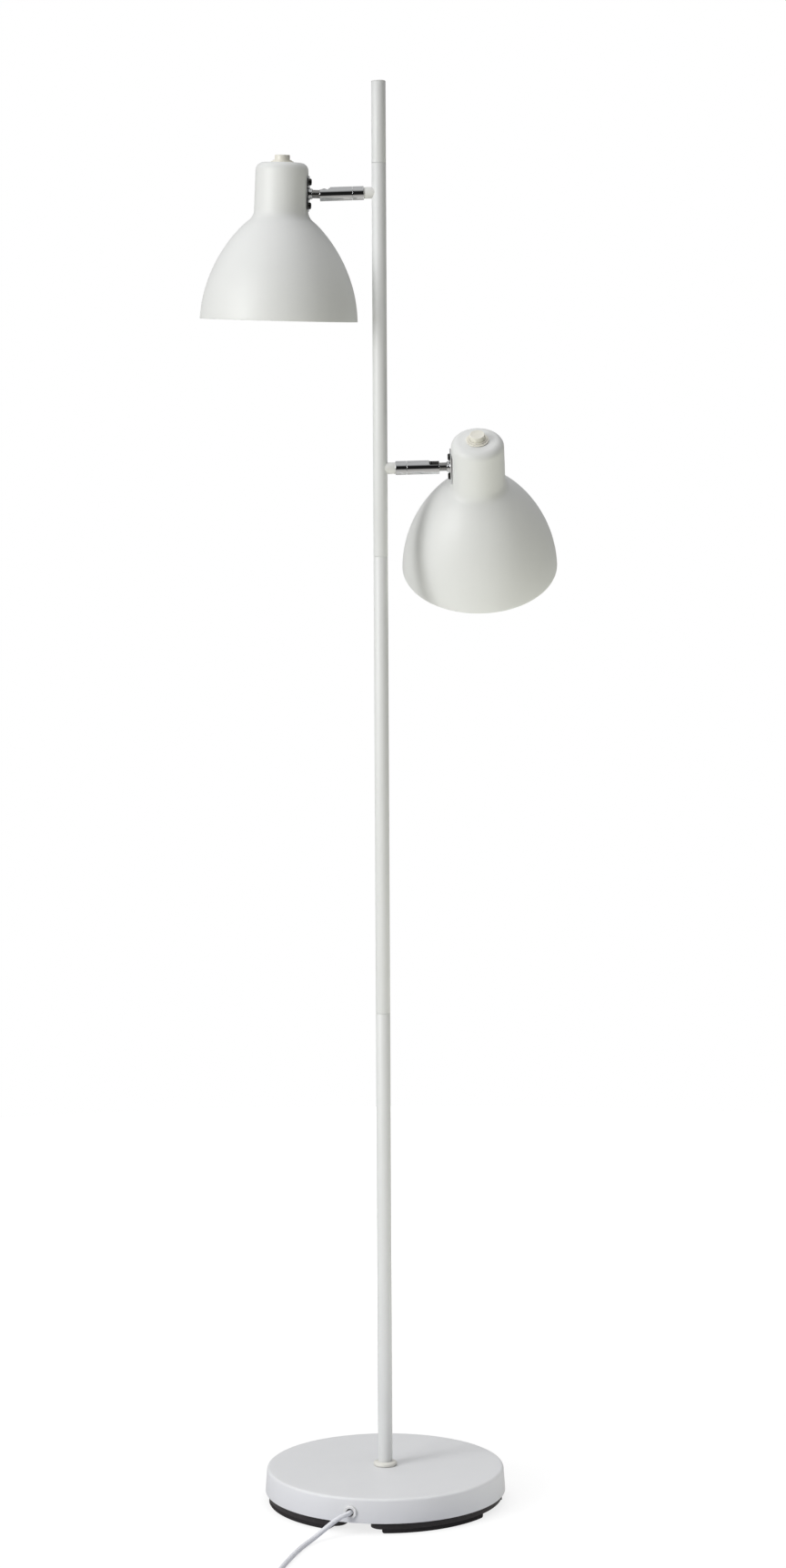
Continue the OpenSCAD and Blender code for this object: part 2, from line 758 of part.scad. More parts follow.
module plate_screws() {
  tail_x = flat_x + seat_t + bracket_t + 2;
  slot = 0.9;
  color(chrome) for (s = [-1, 1]) translate([0, 0, s * screw_span / 2]) difference() {
    union() {
      along_x(plate_x - screw_head_h) rotate_extrude() polygon(concat(
        [[0, 0]], arc([screw_head_d / 2 - screw_head_h * 0.6, screw_head_h * 0.6],
                      screw_head_h * 0.6, -90, 0),
        [[screw_head_d / 2, screw_head_h], [0, screw_head_h]]
      ));
      rod(screw_d, plate_x - eps, tail_x);
    }
    for (a = [45, -45]) translate([plate_x - screw_head_h - 1, 0, 0]) rotate([a, 0, 0])
      translate([0, -screw_head_d * 0.3, -slot / 2]) cube([2.2, screw_head_d * 0.6, slot]);
  }
}

// Upright strip behind the neck's wall, and a tongue that holds the lampholder
module holder_bracket() {
  x = flat_x + seat_t;
  strip_h = screw_span + 8;
  color(steel) difference() {
    union() {
      translate([x, -bracket_w / 2, -strip_h / 2]) cube([bracket_t, bracket_w, strip_h]);
      translate([x, -bracket_w / 2, tongue_at])
        cube([shade_x - x, bracket_w, tongue_t]);
      translate([shade_x, 0, tongue_at]) cylinder(d = bracket_w, h = tongue_t);
    }
    rod(stem_d + 2 * slack, 0, shade_x - holder_d / 2);
    translate([shade_x, 0, 0]) cylinder(d = pipe_d + 2 * fit, h = neck_top);
    for (s = [-1, 1]) translate([0, 0, s * screw_span / 2])
      rod(screw_d + 2 * fit, x - 1, x + bracket_t + 1);
  }
}

// ---- Shade ---------------------------------------------------------------

shade_outline = concat(
  [[0, neck_top]],
  arc([neck_top_r - neck_round, neck_top - neck_round], neck_round, 90, 0),
  arc([neck_foot_r + shoulder_r, -shoulder_at], shoulder_r, 180, 270 - dome_slope),
  bezier(dome_start, dome_pulls[0], dome_pulls[1], dome_end, dome_steps)
);

module shade() {
  color(paint) difference() {
    union() {
      difference() {
        translate([shade_x, 0, 0]) rotate_extrude($fn = 128)
          polygon(concat(shade_outline, reversed(inset(shade_outline, shade_wall))));
        rod(plate_d + 1, 0, flat_x);
      }
      intersection() {
        rod(plate_d + 1, flat_x, flat_x + seat_t);
        translate([shade_x, 0, -plate_d])
          cylinder(d = neck_top_d - shade_wall / 2, h = 2 * plate_d);
      }
    }
    rod(stem_d + 2 * slack, 0, shade_x);
    for (s = [-1, 1]) translate([0, 0, s * screw_span / 2])
      rod(screw_d + 2 * slack, 0, shade_x);
    translate([shade_x, 0, 0]) cylinder(d = bush_d + 2 * fit, h = neck_top + 1);
  }
}

// ---- Switch and lampholder -----------------------------------------------

module switch_body() {
  well_z = neck_top - button_in - button_travel - 1;
  bush_z = neck_top - shade_wall;
  color(cream) translate([shade_x, 0, 0]) difference() {
    union() {
      translate([0, 0, switch_z]) cylinder(d = switch_d, h = switch_h);
      translate([0, 0, bush_z - eps])
        cylinder(d = bush_d, h = bush_out + shade_wall + eps);
    }
    translate([0, 0, well_z]) cylinder(d = button_d + 2 * slack, h = neck_top);
  }
}

module ring_nut() {
  bevel = 0.6;
  color(cream) translate([shade_x, 0, neck_top]) difference() {
    rotate_extrude() polygon([
      [0, 0], [ring_d / 2, 0], [ring_d / 2, ring_t - bevel],
      [ring_d / 2 - bevel, ring_t], [0, ring_t]
    ]);
    translate([0, 0, -1]) cylinder(d = bush_d + 2 * fit, h = ring_t + 2);
  }
}

module button() {
  edge = 0.8;
  top = neck_top + button_h;
  r = button_d / 2;
  dish = 0.4;
  color(cream) translate([shade_x, 0, 0]) rotate_extrude() polygon(concat(
    [[0, neck_top - button_in], [r, neck_top - button_in]],
    arc([r - edge, top - edge], edge, 0, 90, 30),
    [[r - 2 * edge, top], [r - 3 * edge, top - dish], [0, top - dish]]
  ));
}

module lampholder() {
  cap_r = 14;
  cap_h = 12;
  floor_z = shell_z + shell_l + 3;
  color(paint) translate([shade_x, 0, 0]) difference() {
    union() {
      rotate_extrude() polygon([
        [0, -holder_at], [holder_d / 2 - 0.6, -holder_at],
        [holder_d / 2, -holder_at + 0.6], [holder_d / 2, holder_z - cap_h],
        [cap_r, holder_z], [0, holder_z]
      ]);
      translate([0, 0, holder_z - eps]) cylinder(d = pipe_d, h = tongue_t + 3);
    }
    translate([0, 0, -holder_at - 1])
      cylinder(d = socket_bore + 2 * shell_t + 2 * fit, h = floor_z + holder_at + 1);
    cylinder(d = nipple_bore, h = neck_top);
  }
}

// The screw shell and the middle contact in the lampholder
module socket_contacts() {
  floor_z = shell_z + shell_l + 3;
  contact_d = 9;
  contact_h = 2;
  color(brass) translate([shade_x, 0, 0]) {
    tube_z(socket_bore + 2 * shell_t, socket_bore, shell_z, shell_z + shell_l);
    translate([0, 0, floor_z - contact_h])
      tube_z(contact_d, contact_d / 3, 0, contact_h);
  }
}

// ---- Cord ----------------------------------------------------------------

module cord() {
  color(paint) {
    tube(route, cord_d, cord_sides);
    tube(tail, cord_d, cord_sides);
  }
}

turns = turns_in + turns_out;
function coil_radius(t) = coil_r + coil_pitch * abs(t - turns_in);
function climb(t) = let (s = max(0, min(1, 2 * (t - turns_in) + 0.5)))
  s * s * (3 - 2 * s);
function coil_point(t) = coil_c + [
  coil_radius(t) * cos(180 + 360 * t), coil_radius(t) * sin(180 + 360 * t),
  coil_pitch * climb(t)
];
coil_line = [for (i = [0:turns * coil_rings]) coil_point(i / coil_rings)];
coil_path = concat(
  [coil_line[0] + [0, cord_d, 0]], coil_line,
  [coil_line[len(coil_line) - 1] + [cord_d, 0, 0]]
);
coil_gap = min([for (i = [0:len(coil_line) - 1])
  for (j = [i + coil_rings / 2:1:len(coil_line) - 1])
    norm(coil_line[i] - coil_line[j])]) - cord_d;
echo("least gap between the coil's turns, mm", coil_gap);

module cord_coil() { color(paint) tube(coil_path, cord_d, coil_sides); }

// A flat band round the coil's turns, at its side away from the lamp
module cord_tie() {
  spare = 0.6;
  r0 = coil_radius(turns_in - 0.5) - cord_d / 2 - spare;
  r1 = coil_radius(0.5) + cord_d / 2 + spare;
  h = coil_pitch + cord_d + spare;
  color(black) translate([coil_c[0], coil_c[1], 0]) difference() {
    translate([r0 - tie_t, -tie_w / 2, 0]) cube([r1 - r0 + 2 * tie_t, tie_w, h + 2 * tie_t]);
    translate([r0, -tie_w, tie_t]) cube([r1 - r0, 2 * tie_w, h]);
  }
}

plug_at = tail[len(tail) - 1];

module plug_body() {
  neck_w = 9;
  shoulder = 22;
  half = plug_w / 2;
  color(paint) translate([plug_at[0], plug_at[1], 0]) difference() {
    intersection() {
      linear_extrude(plug_h) polygon([
        [0, -neck_w / 2], [8, -neck_w / 2 - 1], [shoulder, -half + 3], [plug_l - 6, -half],
        [plug_l, -half + 4], [plug_l, half - 4], [plug_l - 6, half], [shoulder, half - 3],
        [8, neck_w / 2 + 1], [0, neck_w / 2]
      ]);
      translate([0, half + 1, 0]) rotate([90, 0, 0]) linear_extrude(plug_w + 2) polygon([
        [0, plug_at[2] - 4], [8, plug_at[2] - 4.6], [16, 0.6], [17.5, 0], [plug_l, 0],
        [plug_l, plug_h], [17.5, plug_h], [16, plug_h - 0.6], [8, plug_at[2] + 4.6],
        [0, plug_at[2] + 4]
      ]);
    }
    for (s = [-1, 1]) translate([0, s * pin_span / 2, plug_at[2]])
      rod(pin_root_d + 2 * fit, plug_l - pin_root_l - fit, plug_l + 1);
  }
}

module plug_pins() {
  tip = 0.8;
  x = plug_at[0] + plug_l;
  color(steel) for (s = [-1, 1])
    translate([x, plug_at[1] + s * pin_span / 2, plug_at[2]]) rotate([0, 90, 0])
      rotate_extrude() polygon([
        [0, -pin_root_l], [pin_root_d / 2, -pin_root_l], [pin_root_d / 2, 0],
        [pin_d / 2, 0], [pin_d / 2, pin_l - tip], [pin_d / 2 - tip, pin_l], [0, pin_l]
      ]);
}

// ---- Assembly ------------------------------------------------------------

base_cover();
base_weight();
foot_pads();
base_collar();
base_pipe();
base_nut();
cord_grommet();
cord_clamp();
inner_lead();
pole_lower();
pole_middle();
pole_upper();
pole_top();
pole_cap();
pole_sockets();
pole_studs();

arm_anchor(UPPER);  // upper_arm_anchor
on_arm(UPPER) arm_pipe();  // upper_arm_pipe
arm_spacer(UPPER);  // upper_spacer
on_arm(UPPER) swivel_collar();  // upper_swivel_collar
on_arm(UPPER) swivel_nut();  // upper_swivel_nut
on_barrel(UPPER) barrel();  // upper_barrel
on_barrel(UPPER) spring_washers();  // upper_spring_washers
on_barrel(UPPER) ball_seat();  // upper_ball_seat
on_head(UPPER) ball_stud();  // upper_ball_stud
on_head(UPPER) stud_nuts();  // upper_stud_nuts
on_head(UPPER) mount_plate();  // upper_mount_plate
on_head(UPPER) plate_screws();  // upper_plate_screws
on_head(UPPER) holder_bracket();  // upper_holder_bracket
on_head(UPPER) shade();  // upper_shade
on_head(UPPER) switch_body();  // upper_switch_body
on_head(UPPER) ring_nut();  // upper_ring_nut
on_head(UPPER) button();  // upper_button
on_head(UPPER) lampholder();  // upper_lampholder
on_head(UPPER) socket_contacts();  // upper_socket_contacts

arm_anchor(LOWER);  // lower_arm_anchor
on_arm(LOWER) arm_pipe();  // lower_arm_pipe
arm_spacer(LOWER);  // lower_spacer
on_arm(LOWER) swivel_collar();  // lower_swivel_collar
on_arm(LOWER) swivel_nut();  // lower_swivel_nut
on_barrel(LOWER) barrel();  // lower_barrel
on_barrel(LOWER) spring_washers();  // lower_spring_washers
on_barrel(LOWER) ball_seat();  // lower_ball_seat
on_head(LOWER) ball_stud();  // lower_ball_stud
on_head(LOWER) stud_nuts();  // lower_stud_nuts
on_head(LOWER) mount_plate();  // lower_mount_plate
on_head(LOWER) plate_screws();  // lower_plate_screws
on_head(LOWER) holder_bracket();  // lower_holder_bracket
on_head(LOWER) shade();  // lower_shade
on_head(LOWER) switch_body();  // lower_switch_body
on_head(LOWER) ring_nut();  // lower_ring_nut
on_head(LOWER) button();  // lower_button
on_head(LOWER) lampholder();  // lower_lampholder
on_head(LOWER) socket_contacts();  // lower_socket_contacts

cord();
cord_coil();
cord_tie();
plug_body();
plug_pins();
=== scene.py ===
import json
import logging
import math
from dataclasses import dataclass
from enum import Enum
from functools import lru_cache
from typing import Sequence

import bmesh
import bpy
from mathutils import Matrix, Vector

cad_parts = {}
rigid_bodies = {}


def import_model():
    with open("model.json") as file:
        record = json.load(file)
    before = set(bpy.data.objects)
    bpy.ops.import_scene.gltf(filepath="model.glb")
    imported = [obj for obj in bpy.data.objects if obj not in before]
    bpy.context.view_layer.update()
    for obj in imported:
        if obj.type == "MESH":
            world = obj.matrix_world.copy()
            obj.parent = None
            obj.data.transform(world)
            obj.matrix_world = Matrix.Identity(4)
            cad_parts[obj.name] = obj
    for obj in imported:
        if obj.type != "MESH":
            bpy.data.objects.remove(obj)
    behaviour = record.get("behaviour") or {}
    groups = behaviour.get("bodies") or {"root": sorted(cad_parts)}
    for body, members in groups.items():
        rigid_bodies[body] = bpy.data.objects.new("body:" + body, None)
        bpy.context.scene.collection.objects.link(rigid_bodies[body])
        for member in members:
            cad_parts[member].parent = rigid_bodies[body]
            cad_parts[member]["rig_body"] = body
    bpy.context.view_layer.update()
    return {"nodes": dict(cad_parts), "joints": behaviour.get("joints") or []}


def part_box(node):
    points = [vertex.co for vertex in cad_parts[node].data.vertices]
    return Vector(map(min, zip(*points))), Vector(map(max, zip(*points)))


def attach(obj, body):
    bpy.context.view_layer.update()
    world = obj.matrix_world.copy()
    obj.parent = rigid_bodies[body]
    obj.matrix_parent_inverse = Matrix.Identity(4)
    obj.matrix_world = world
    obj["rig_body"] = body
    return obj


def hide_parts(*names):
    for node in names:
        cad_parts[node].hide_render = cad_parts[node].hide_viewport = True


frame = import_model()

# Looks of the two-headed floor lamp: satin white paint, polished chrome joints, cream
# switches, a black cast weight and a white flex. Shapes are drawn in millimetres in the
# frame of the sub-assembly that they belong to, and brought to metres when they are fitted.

LOG = logging.getLogger("floor_lamp")
MM = 0.001

# The standing part's frame, which is the whole lamp's.
STAND = Matrix.Identity(4)
# Vertices nearer than these are made one, in millimetres: of a turned shape, of a CAD copy.
WELD = 1e-4
CAD_WELD = 1e-3
# Heights or radii nearer than this count as equal, in millimetres.
LEVEL = 0.01
# Two CAD faces that turn by less than this many degrees are one flat face.
CAD_FLAT = 0.3
# The range that most of a noise's values lie in.
NOISE_LOW, NOISE_HIGH = 0.3, 0.7

Point = tuple[float, float]
Colour = tuple[float, float, float]
Tree = bpy.types.ShaderNodeTree
Node = bpy.types.ShaderNode
Socket = bpy.types.NodeSocket
Mesh = bmesh.types.BMesh
Edge = bmesh.types.BMEdge
Object = bpy.types.Object


# ---- Profiles --------------------------------------------------------------------------

def arc(centre: Point, radius: float, start: float, stop: float, steps: int) -> list[Point]:
    """Points along a circle's arc in a profile.

    Args:
        centre: The circle's centre.
        radius: The circle's radius.
        start: Angle of the first point, in degrees.
        stop: Angle of the last point, in degrees.
        steps: Number of steps between the two.

    Returns:
        The points, both ends included.
    """
    turns = [math.radians(start + (stop - start) * i / steps) for i in range(steps + 1)]
    return [(centre[0] + radius * math.cos(a), centre[1] + radius * math.sin(a)) for a in turns]


def pulled_curve(ends: Sequence[Point], pulls: Sequence[Point], steps: int) -> list[Point]:
    """Points along a cubic curve, without its first one.

    Args:
        ends: The curve's first and last point.
        pulls: The points that pull it at either end.
        steps: Number of steps along it.

    Returns:
        The points after the first one.
    """
    points = []
    for i in range(1, steps + 1):
        t, u = i / steps, 1 - i / steps
        weights = (u ** 3, 3 * u * u * t, 3 * u * t * t, t ** 3)
        corners = (ends[0], pulls[0], pulls[1], ends[1])
        points.append(tuple(sum(w * c[k] for w, c in zip(weights, corners)) for k in (0, 1)))
    return points


def inner_line(path: Sequence[Point], wall: float) -> list[Point]:
    """The inside of a sheet whose outside runs along a profile.

    Args:
        path: The outside, its inside lying to the right of its run.
        wall: Thickness of the sheet.

    Returns:
        The inside's points, in the same order.
    """
    inner = []
    for i, point in enumerate(path):
        before, after = path[max(i - 1, 0)], path[min(i + 1, len(path) - 1)]
        run = Vector((after[0] - before[0], after[1] - before[1])).normalized()
        inner.append((max(0.0, point[0] + wall * run.y), point[1] - wall * run.x))
    return inner


def thread_line(radius: float, depth: float, start: float, stop: float,
                pitch: float) -> list[Point]:
    """A profile's stretch with the ridges of a fine thread.

    Args:
        radius: Radius at the ridges.
        depth: Depth of the grooves between them.
        start: Height of the first ridge.
        stop: Height of the last ridge.
        pitch: Distance between ridges.

    Returns:
        The stretch's points from start to stop.
    """
    count = max(1, round(abs(stop - start) / pitch))
    step = (stop - start) / count
    points = []
    for i in range(count):
        points += [(radius, start + i * step), (radius - depth, start + (i + 0.5) * step)]
    return points + [(radius, stop)]


# ---- Solids ----------------------------------------------------------------------------

def lathe(profile: Sequence[Point], segments: int = 96, ring: bool = False) -> Mesh:
    """Turns a profile round the Z axis.

    Args:
        profile: Points of radius and height.
        segments: Number of steps in the full turn.
        ring: True where the profile closes on itself, as round a bore.

    Returns:
        The turned skin, closed at its poles.
    """
    bm = bmesh.new()
    verts = [bm.verts.new((r, 0, z)) for r, z in profile]
    edges = [bm.edges.new(pair) for pair in zip(verts, verts[1:])]
    if ring:
        edges.append(bm.edges.new((verts[-1], verts[0])))
    bmesh.ops.spin(bm, geom=verts + edges, cent=(0, 0, 0), axis=(0, 0, 1),
                   angle=math.tau, steps=segments, use_merge=True)
    bmesh.ops.remove_doubles(bm, verts=bm.verts, dist=WELD)
    bmesh.ops.recalc_face_normals(bm, faces=bm.faces)
    return bm


def along_x(bm: Mesh) -> Mesh:
    """Lays a shape that was turned round Z along +X."""
    bm.transform(Matrix.Rotation(math.radians(90), 4, "Y"))
    return bm


def rod(radius: float, start: float, stop: float, segments: int = 64) -> Mesh:
    """A plain rod along X, as a cutter.

    Args:
        radius: Its radius.
        start: X of its first end.
        stop: X of its second end.
        segments: Number of its sides.

    Returns:
        The rod.
    """
    bm = bmesh.new()
    bmesh.ops.create_cone(bm, cap_ends=True, segments=segments, radius1=radius,
                          radius2=radius, depth=stop - start,
                          matrix=Matrix.Translation((0, 0, (start + stop) / 2)))
    return along_x(bm)


def block(low: Sequence[float], high: Sequence[float]) -> Mesh:
    """A box, as a cutter.

    Args:
        low: Its lowest corner.
        high: Its highest corner.

    Returns:
        The box.
    """
    bm = bmesh.new()
    bmesh.ops.create_cube(bm, size=1)
    size = Vector(high) - Vector(low)
    bm.transform(Matrix.Translation((Vector(low) + Vector(high)) / 2)
                 @ Matrix.Diagonal((*size, 1)))
    return bm


def moved(bm: Mesh, place: Matrix) -> Mesh:
    """Moves a shape and gives it back."""
    bm.transform(place)
    return bm


def sharp_edges(bm: Mesh, above: float) -> list[Edge]:
    """The edges where faces meet at more than an angle, in degrees."""
    bm.normal_update()
    return [e for e in bm.edges if e.is_manifold and e.calc_face_angle() > math.radians(above)]


def bevel(bm: Mesh, edges: Sequence[Edge], width: float, segments: int = 2,
          clamp: bool = False) -> Mesh:
    """Rounds some edges.

    Args:
        bm: The shape.
        edges: Its edges to round.
        width: Width of the rounding.
        segments: Number of its steps.
        clamp: True to narrow it where two roundings would meet.

    Returns:
        The same shape.
    """
    bmesh.ops.bevel(bm, geom=edges, offset=width, offset_type="OFFSET", affect="EDGES",
                    segments=segments, profile=0.5, material=-1, clamp_overlap=clamp)
    return bm


def round_edges(bm: Mesh, width: float, segments: int = 2, above: float = 30) -> Mesh:
    """Rounds the edges where faces meet at more than an angle.

    Args:
        bm: The shape.
        width: Width of the rounding.
        segments: Number of its steps.
        above: Least angle between the faces, in degrees.

    Returns:
        The same shape.
    """
    return bevel(bm, sharp_edges(bm, above), width, segments, clamp=True)


def as_object(bm: Mesh, name: str = "passing") -> Object:
    """Puts a shape in the scene.

    Args:
        bm: The shape, which is used up.
        name: The object's name.

    Returns:
        The object.
    """
    mesh = bpy.data.meshes.new(name)
    bm.to_mesh(mesh)
    bm.free()
    obj = bpy.data.objects.new(name, mesh)
    bpy.context.scene.collection.objects.link(obj)
    return obj


def cut(bm: Mesh, *cutters: Mesh) -> Mesh:
    """Takes the cutters' space out of a solid.

    Args:
        bm: The solid.
        cutters: Closed shapes, in the solid's own frame.

    Returns:
        What is left of the solid.
    """
    solid = as_object(bm)
    tools = [as_object(cutter) for cutter in cutters]
    for tool in tools:
        modifier = solid.modifiers.new("cut", "BOOLEAN")
        modifier.operation = "DIFFERENCE"
        modifier.solver = "EXACT"
        modifier.object = tool
    graph = bpy.context.evaluated_depsgraph_get()
    left = bmesh.new()
    left.from_mesh(solid.evaluated_get(graph).to_mesh())
    for obj in [solid, *tools]:
        mesh = obj.data
        bpy.data.objects.remove(obj)
        bpy.data.meshes.remove(mesh)
    return left


def joined(bm: Mesh, other: Mesh) -> Mesh:
    """Adds a shape to another.

    Args:
        bm: The shape that grows.
        other: The shape that is added, and used up.

    Returns:
        The grown shape.
    """
    mesh = bpy.data.meshes.new("passing")
    other.to_mesh(mesh)
    other.free()
    bm.from_mesh(mesh)
    bpy.data.meshes.remove(mesh)
    return bm


def node_copy(node: str) -> Mesh:
    """A merged copy of a CAD node's mesh, with its flat faces whole.

    Args:
        node: The node's name.

    Returns:
        The copy, in millimetres.
    """
    bm = bmesh.new()
    bm.from_mesh(frame["nodes"][node].data)
    bm.transform(Matrix.Scale(1 / MM, 4))
    bmesh.ops.remove_doubles(bm, verts=bm.verts, dist=CAD_WELD)
    bmesh.ops.dissolve_limit(bm, angle_limit=math.radians(CAD_FLAT), verts=bm.verts,
                             edges=bm.edges)
    return bm


# ---- Finishes --------------------------------------------------------------------------

class NodeBench:
    """The node tree of a material or a world while it is being built."""

    def __init__(self, owner: bpy.types.ID, shader: str = "Principled BSDF",
                 coordinates: str = "Object") -> None:
        """Starts on a tree that holds its one shader.

        Args:
            owner: The material or world.
            shader: Name of its shader.
            coordinates: The coordinates that its patterns follow.
        """
        owner.use_nodes = True
        self.owner = owner
        self.tree: Tree = owner.node_tree
        self.shader: Node = self.tree.nodes[shader]
        self.place: Socket = self.add("ShaderNodeTexCoord").outputs[coordinates]

    def feed(self, socket: Socket, value: object) -> None:
        """Gives a socket its value or its link.

        Args:
            socket: The socket.
            value: A value, or the socket that feeds it.
        """
        if isinstance(value, bpy.types.NodeSocket):
            self.tree.links.new(value, socket)
        else:
            socket.default_value = value

    def add(self, kind: str, **inputs: object) -> Node:
        """Adds a node.

        Args:
            kind: The node's type.
            inputs: Its properties, or its sockets by name, as values or as links.

        Returns:
            The node.
        """
        node = self.tree.nodes.new(kind)
        for key, value in inputs.items():
            if key in node.bl_rna.properties:
                setattr(node, key, value)
            else:
                self.feed(node.inputs[key.replace("_", " ")], value)
        return node

    def join(self, kind: str, *inputs: object, **properties: object) -> Socket:
        """Adds a node whose sockets are fed in their order.

        Args:
            kind: The node's type.
            inputs: Values or links for its sockets.
            properties: Its properties.

        Returns:
            The node's first output.
        """
        node = self.add(kind, **properties)
        for socket, value in zip(node.inputs, inputs):
            self.feed(socket, value)
        return node.outputs[0]

    def reckon(self, kind: str, first: object, second: object) -> Socket:
        """One step of arithmetic on two values or sockets."""
        return self.join("ShaderNodeMath", first, second, operation=kind)

    def mix(self, share: Socket, first: object, second: object) -> Socket:
        """A value between two others."""
        return self.add("ShaderNodeMix", Factor=share, A=first, B=second).outputs["Result"]

    def noise(self, scale: float, detail: float = 3, place: Socket | None = None) -> Socket:
        """Smooth noise, its scale in patches per metre."""
        return self.add("ShaderNodeTexNoise", Vector=place or self.place, Scale=scale,
                        Detail=detail).outputs[0]

    def spread(self, value: Socket, low: float, high: float) -> Socket:
        """Brings a noise to a range."""
        return Fade(NOISE_LOW, NOISE_HIGH, low, high, smooth=False).over(self, value)

    def tint(self, value: Socket, dark: Colour, light: Colour) -> Socket:
        """A colour between two.

        Args:
            value: A noise, or another value of the same range.
            dark: The colour at its low end.
            light: The colour at its high end.

        Returns:
            The colour.
        """
        ramp = self.add("ShaderNodeValToRGB", Fac=value)
        stops = zip(ramp.color_ramp.elements, (NOISE_LOW, NOISE_HIGH), (dark, light))
        for stop, position, colour in stops:
            stop.position = position
            stop.color = (*colour, 1)
        return ramp.outputs[0]

    def matt(self, colour: Socket) -> Socket:
        """A plain matt shader."""
        return self.add("ShaderNodeBsdfDiffuse", Color=colour).outputs[0]

    def glow(self, strength: Socket, colour: Colour) -> Socket:
        """A glowing shader."""
        return self.add("ShaderNodeEmission", Strength=strength,
                        Color=(*colour, 1)).outputs[0]

    def give(self, name: str, value: object) -> None:
        """Feeds one of the shader's sockets."""
        self.feed(self.shader.inputs[name], value)

    def relief(self, height: Socket, depth: float) -> None:
        """Feeds the shader's normal with a relief of a depth in millimetres."""
        self.give("Normal", self.add("ShaderNodeBump", Height=height,
                                     Distance=depth * MM).outputs[0])


@dataclass(frozen=True)
class Fade:
    """A change from low to high while another value goes from start to stop."""

    start: float
    stop: float
    low: float = 0.0
    high: float = 1.0
    smooth: bool = True

    def over(self, bench: NodeBench, value: Socket) -> Socket:
        """Lays the change over a value.

        Args:
            bench: The tree that holds both.
            value: The value.

        Returns:
            The changed value.
        """
        kind = "SMOOTHSTEP" if self.smooth else "LINEAR"
        return bench.add("ShaderNodeMapRange", interpolation_type=kind, Value=value,
                         From_Min=self.start, From_Max=self.stop, To_Min=self.low,
                         To_Max=self.high).outputs[0]


@dataclass(frozen=True)
class Finish:
    """A surface finish, with the colour and gloss that vary a little over a piece."""

    name: str
    colour: Colour
    roughness: float
    metallic: float = 0.0
    mottle: float = 0.015
    mottle_scale: float = 14.0
    gloss_change: float = 0.03
    wear_fineness: float = 7.0
    ior: float = 1.5

    def build(self) -> bpy.types.Material:
        """Makes the material.

        Returns:
            The material.
        """
        bench = NodeBench(bpy.data.materials.new(self.name))
        bench.give("Metallic", self.metallic)
        bench.give("IOR", self.ior)
        dark = tuple(c * (1 - self.mottle) for c in self.colour)
        light = tuple(min(1.0, c * (1 + self.mottle)) for c in self.colour)
        bench.give("Base Color", bench.tint(bench.noise(self.mottle_scale), dark, light))
        wear = bench.noise(self.mottle_scale * self.wear_fineness, detail=5)
        bench.give("Roughness", bench.spread(wear, self.roughness - self.gloss_change,
                                             self.roughness + self.gloss_change))
        bench.relief(*self.skin(bench))
        return bench.owner

    def skin(self, bench: NodeBench) -> tuple[Socket, float]:
        """The relief of a finish's own, and its depth in millimetres."""
        raise NotImplementedError


@dataclass(frozen=True)
class Paint(Finish):
    """Sprayed satin paint, with the fine peel that it dries with."""

    peel_scale: float = 420.0
    peel_depth: float = 0.012
    grit_fineness: float = 5.0
    grit_share: float = 0.25

    def skin(self, bench: NodeBench) -> tuple[Socket, float]:
        """The peel with some grit.

        Args:
            bench: The material's tree.

        Returns:
            The relief, and its depth in millimetres.
        """
        grit = bench.noise(self.peel_scale * self.grit_fineness, detail=1)
        peel = bench.reckon("ADD", bench.noise(self.peel_scale, detail=2),
                            bench.reckon("MULTIPLY", grit, self.grit_share))
        return peel, self.peel_depth


@dataclass(frozen=True)
class Plating(Finish):
    """Plated or polished metal, with faint polishing swirls."""

    swirl_scale: float = 160.0
    swirl_depth: float = 0.0006
    swirl_squeeze: tuple[float, float, float] = (1, 6, 6)

    def skin(self, bench: NodeBench) -> tuple[Socket, float]:
        """The swirls.

        Args:
            bench: The material's tree.

        Returns:
            The relief, and its depth in millimetres.
        """
        squeezed = bench.add("ShaderNodeMapping", Vector=bench.place, Scale=self.swirl_squeeze)
        swirl = bench.noise(self.swirl_scale, detail=4, place=squeezed.outputs[0])
        return swirl, self.swirl_depth


@dataclass(frozen=True)
class Moulding(Finish):
    """Moulded plastic, its skin slightly uneven."""

    skin_scale: float = 500.0
    skin_depth: float = 0.002

    def skin(self, bench: NodeBench) -> tuple[Socket, float]:
        """The skin."""
        return bench.noise(self.skin_scale), self.skin_depth


@dataclass(frozen=True)
class Casting(Finish):
    """A painted casting, its skin pitted and rough."""

    pit_scale: float = 330.0
    pit_depth: float = 0.16
    pit_share: float = 0.6
    lump_scale: float = 165.0

    def skin(self, bench: NodeBench) -> tuple[Socket, float]:
        """Lumps and pits.

        Args:
            bench: The material's tree.

        Returns:
            The relief, and its depth in millimetres.
        """
        pits = bench.add("ShaderNodeTexVoronoi", Vector=bench.place, Scale=self.pit_scale)
        rough = bench.reckon("ADD", bench.noise(self.lump_scale, detail=6),
                             bench.reckon("MULTIPLY", pits.outputs["Distance"], self.pit_share))
        return rough, self.pit_depth


@dataclass(frozen=True)
class Foam(Finish):
    """Closed-cell foam rubber, with small open cells at its cut faces."""

    cell_scale: float = 1400.0
    cell_depth: float = 0.09

    def skin(self, bench: NodeBench) -> tuple[Socket, float]:
        """The cells."""
        cells = bench.add("ShaderNodeTexVoronoi", Vector=bench.place, Scale=self.cell_scale)
        return cells.outputs["Distance"], self.cell_depth


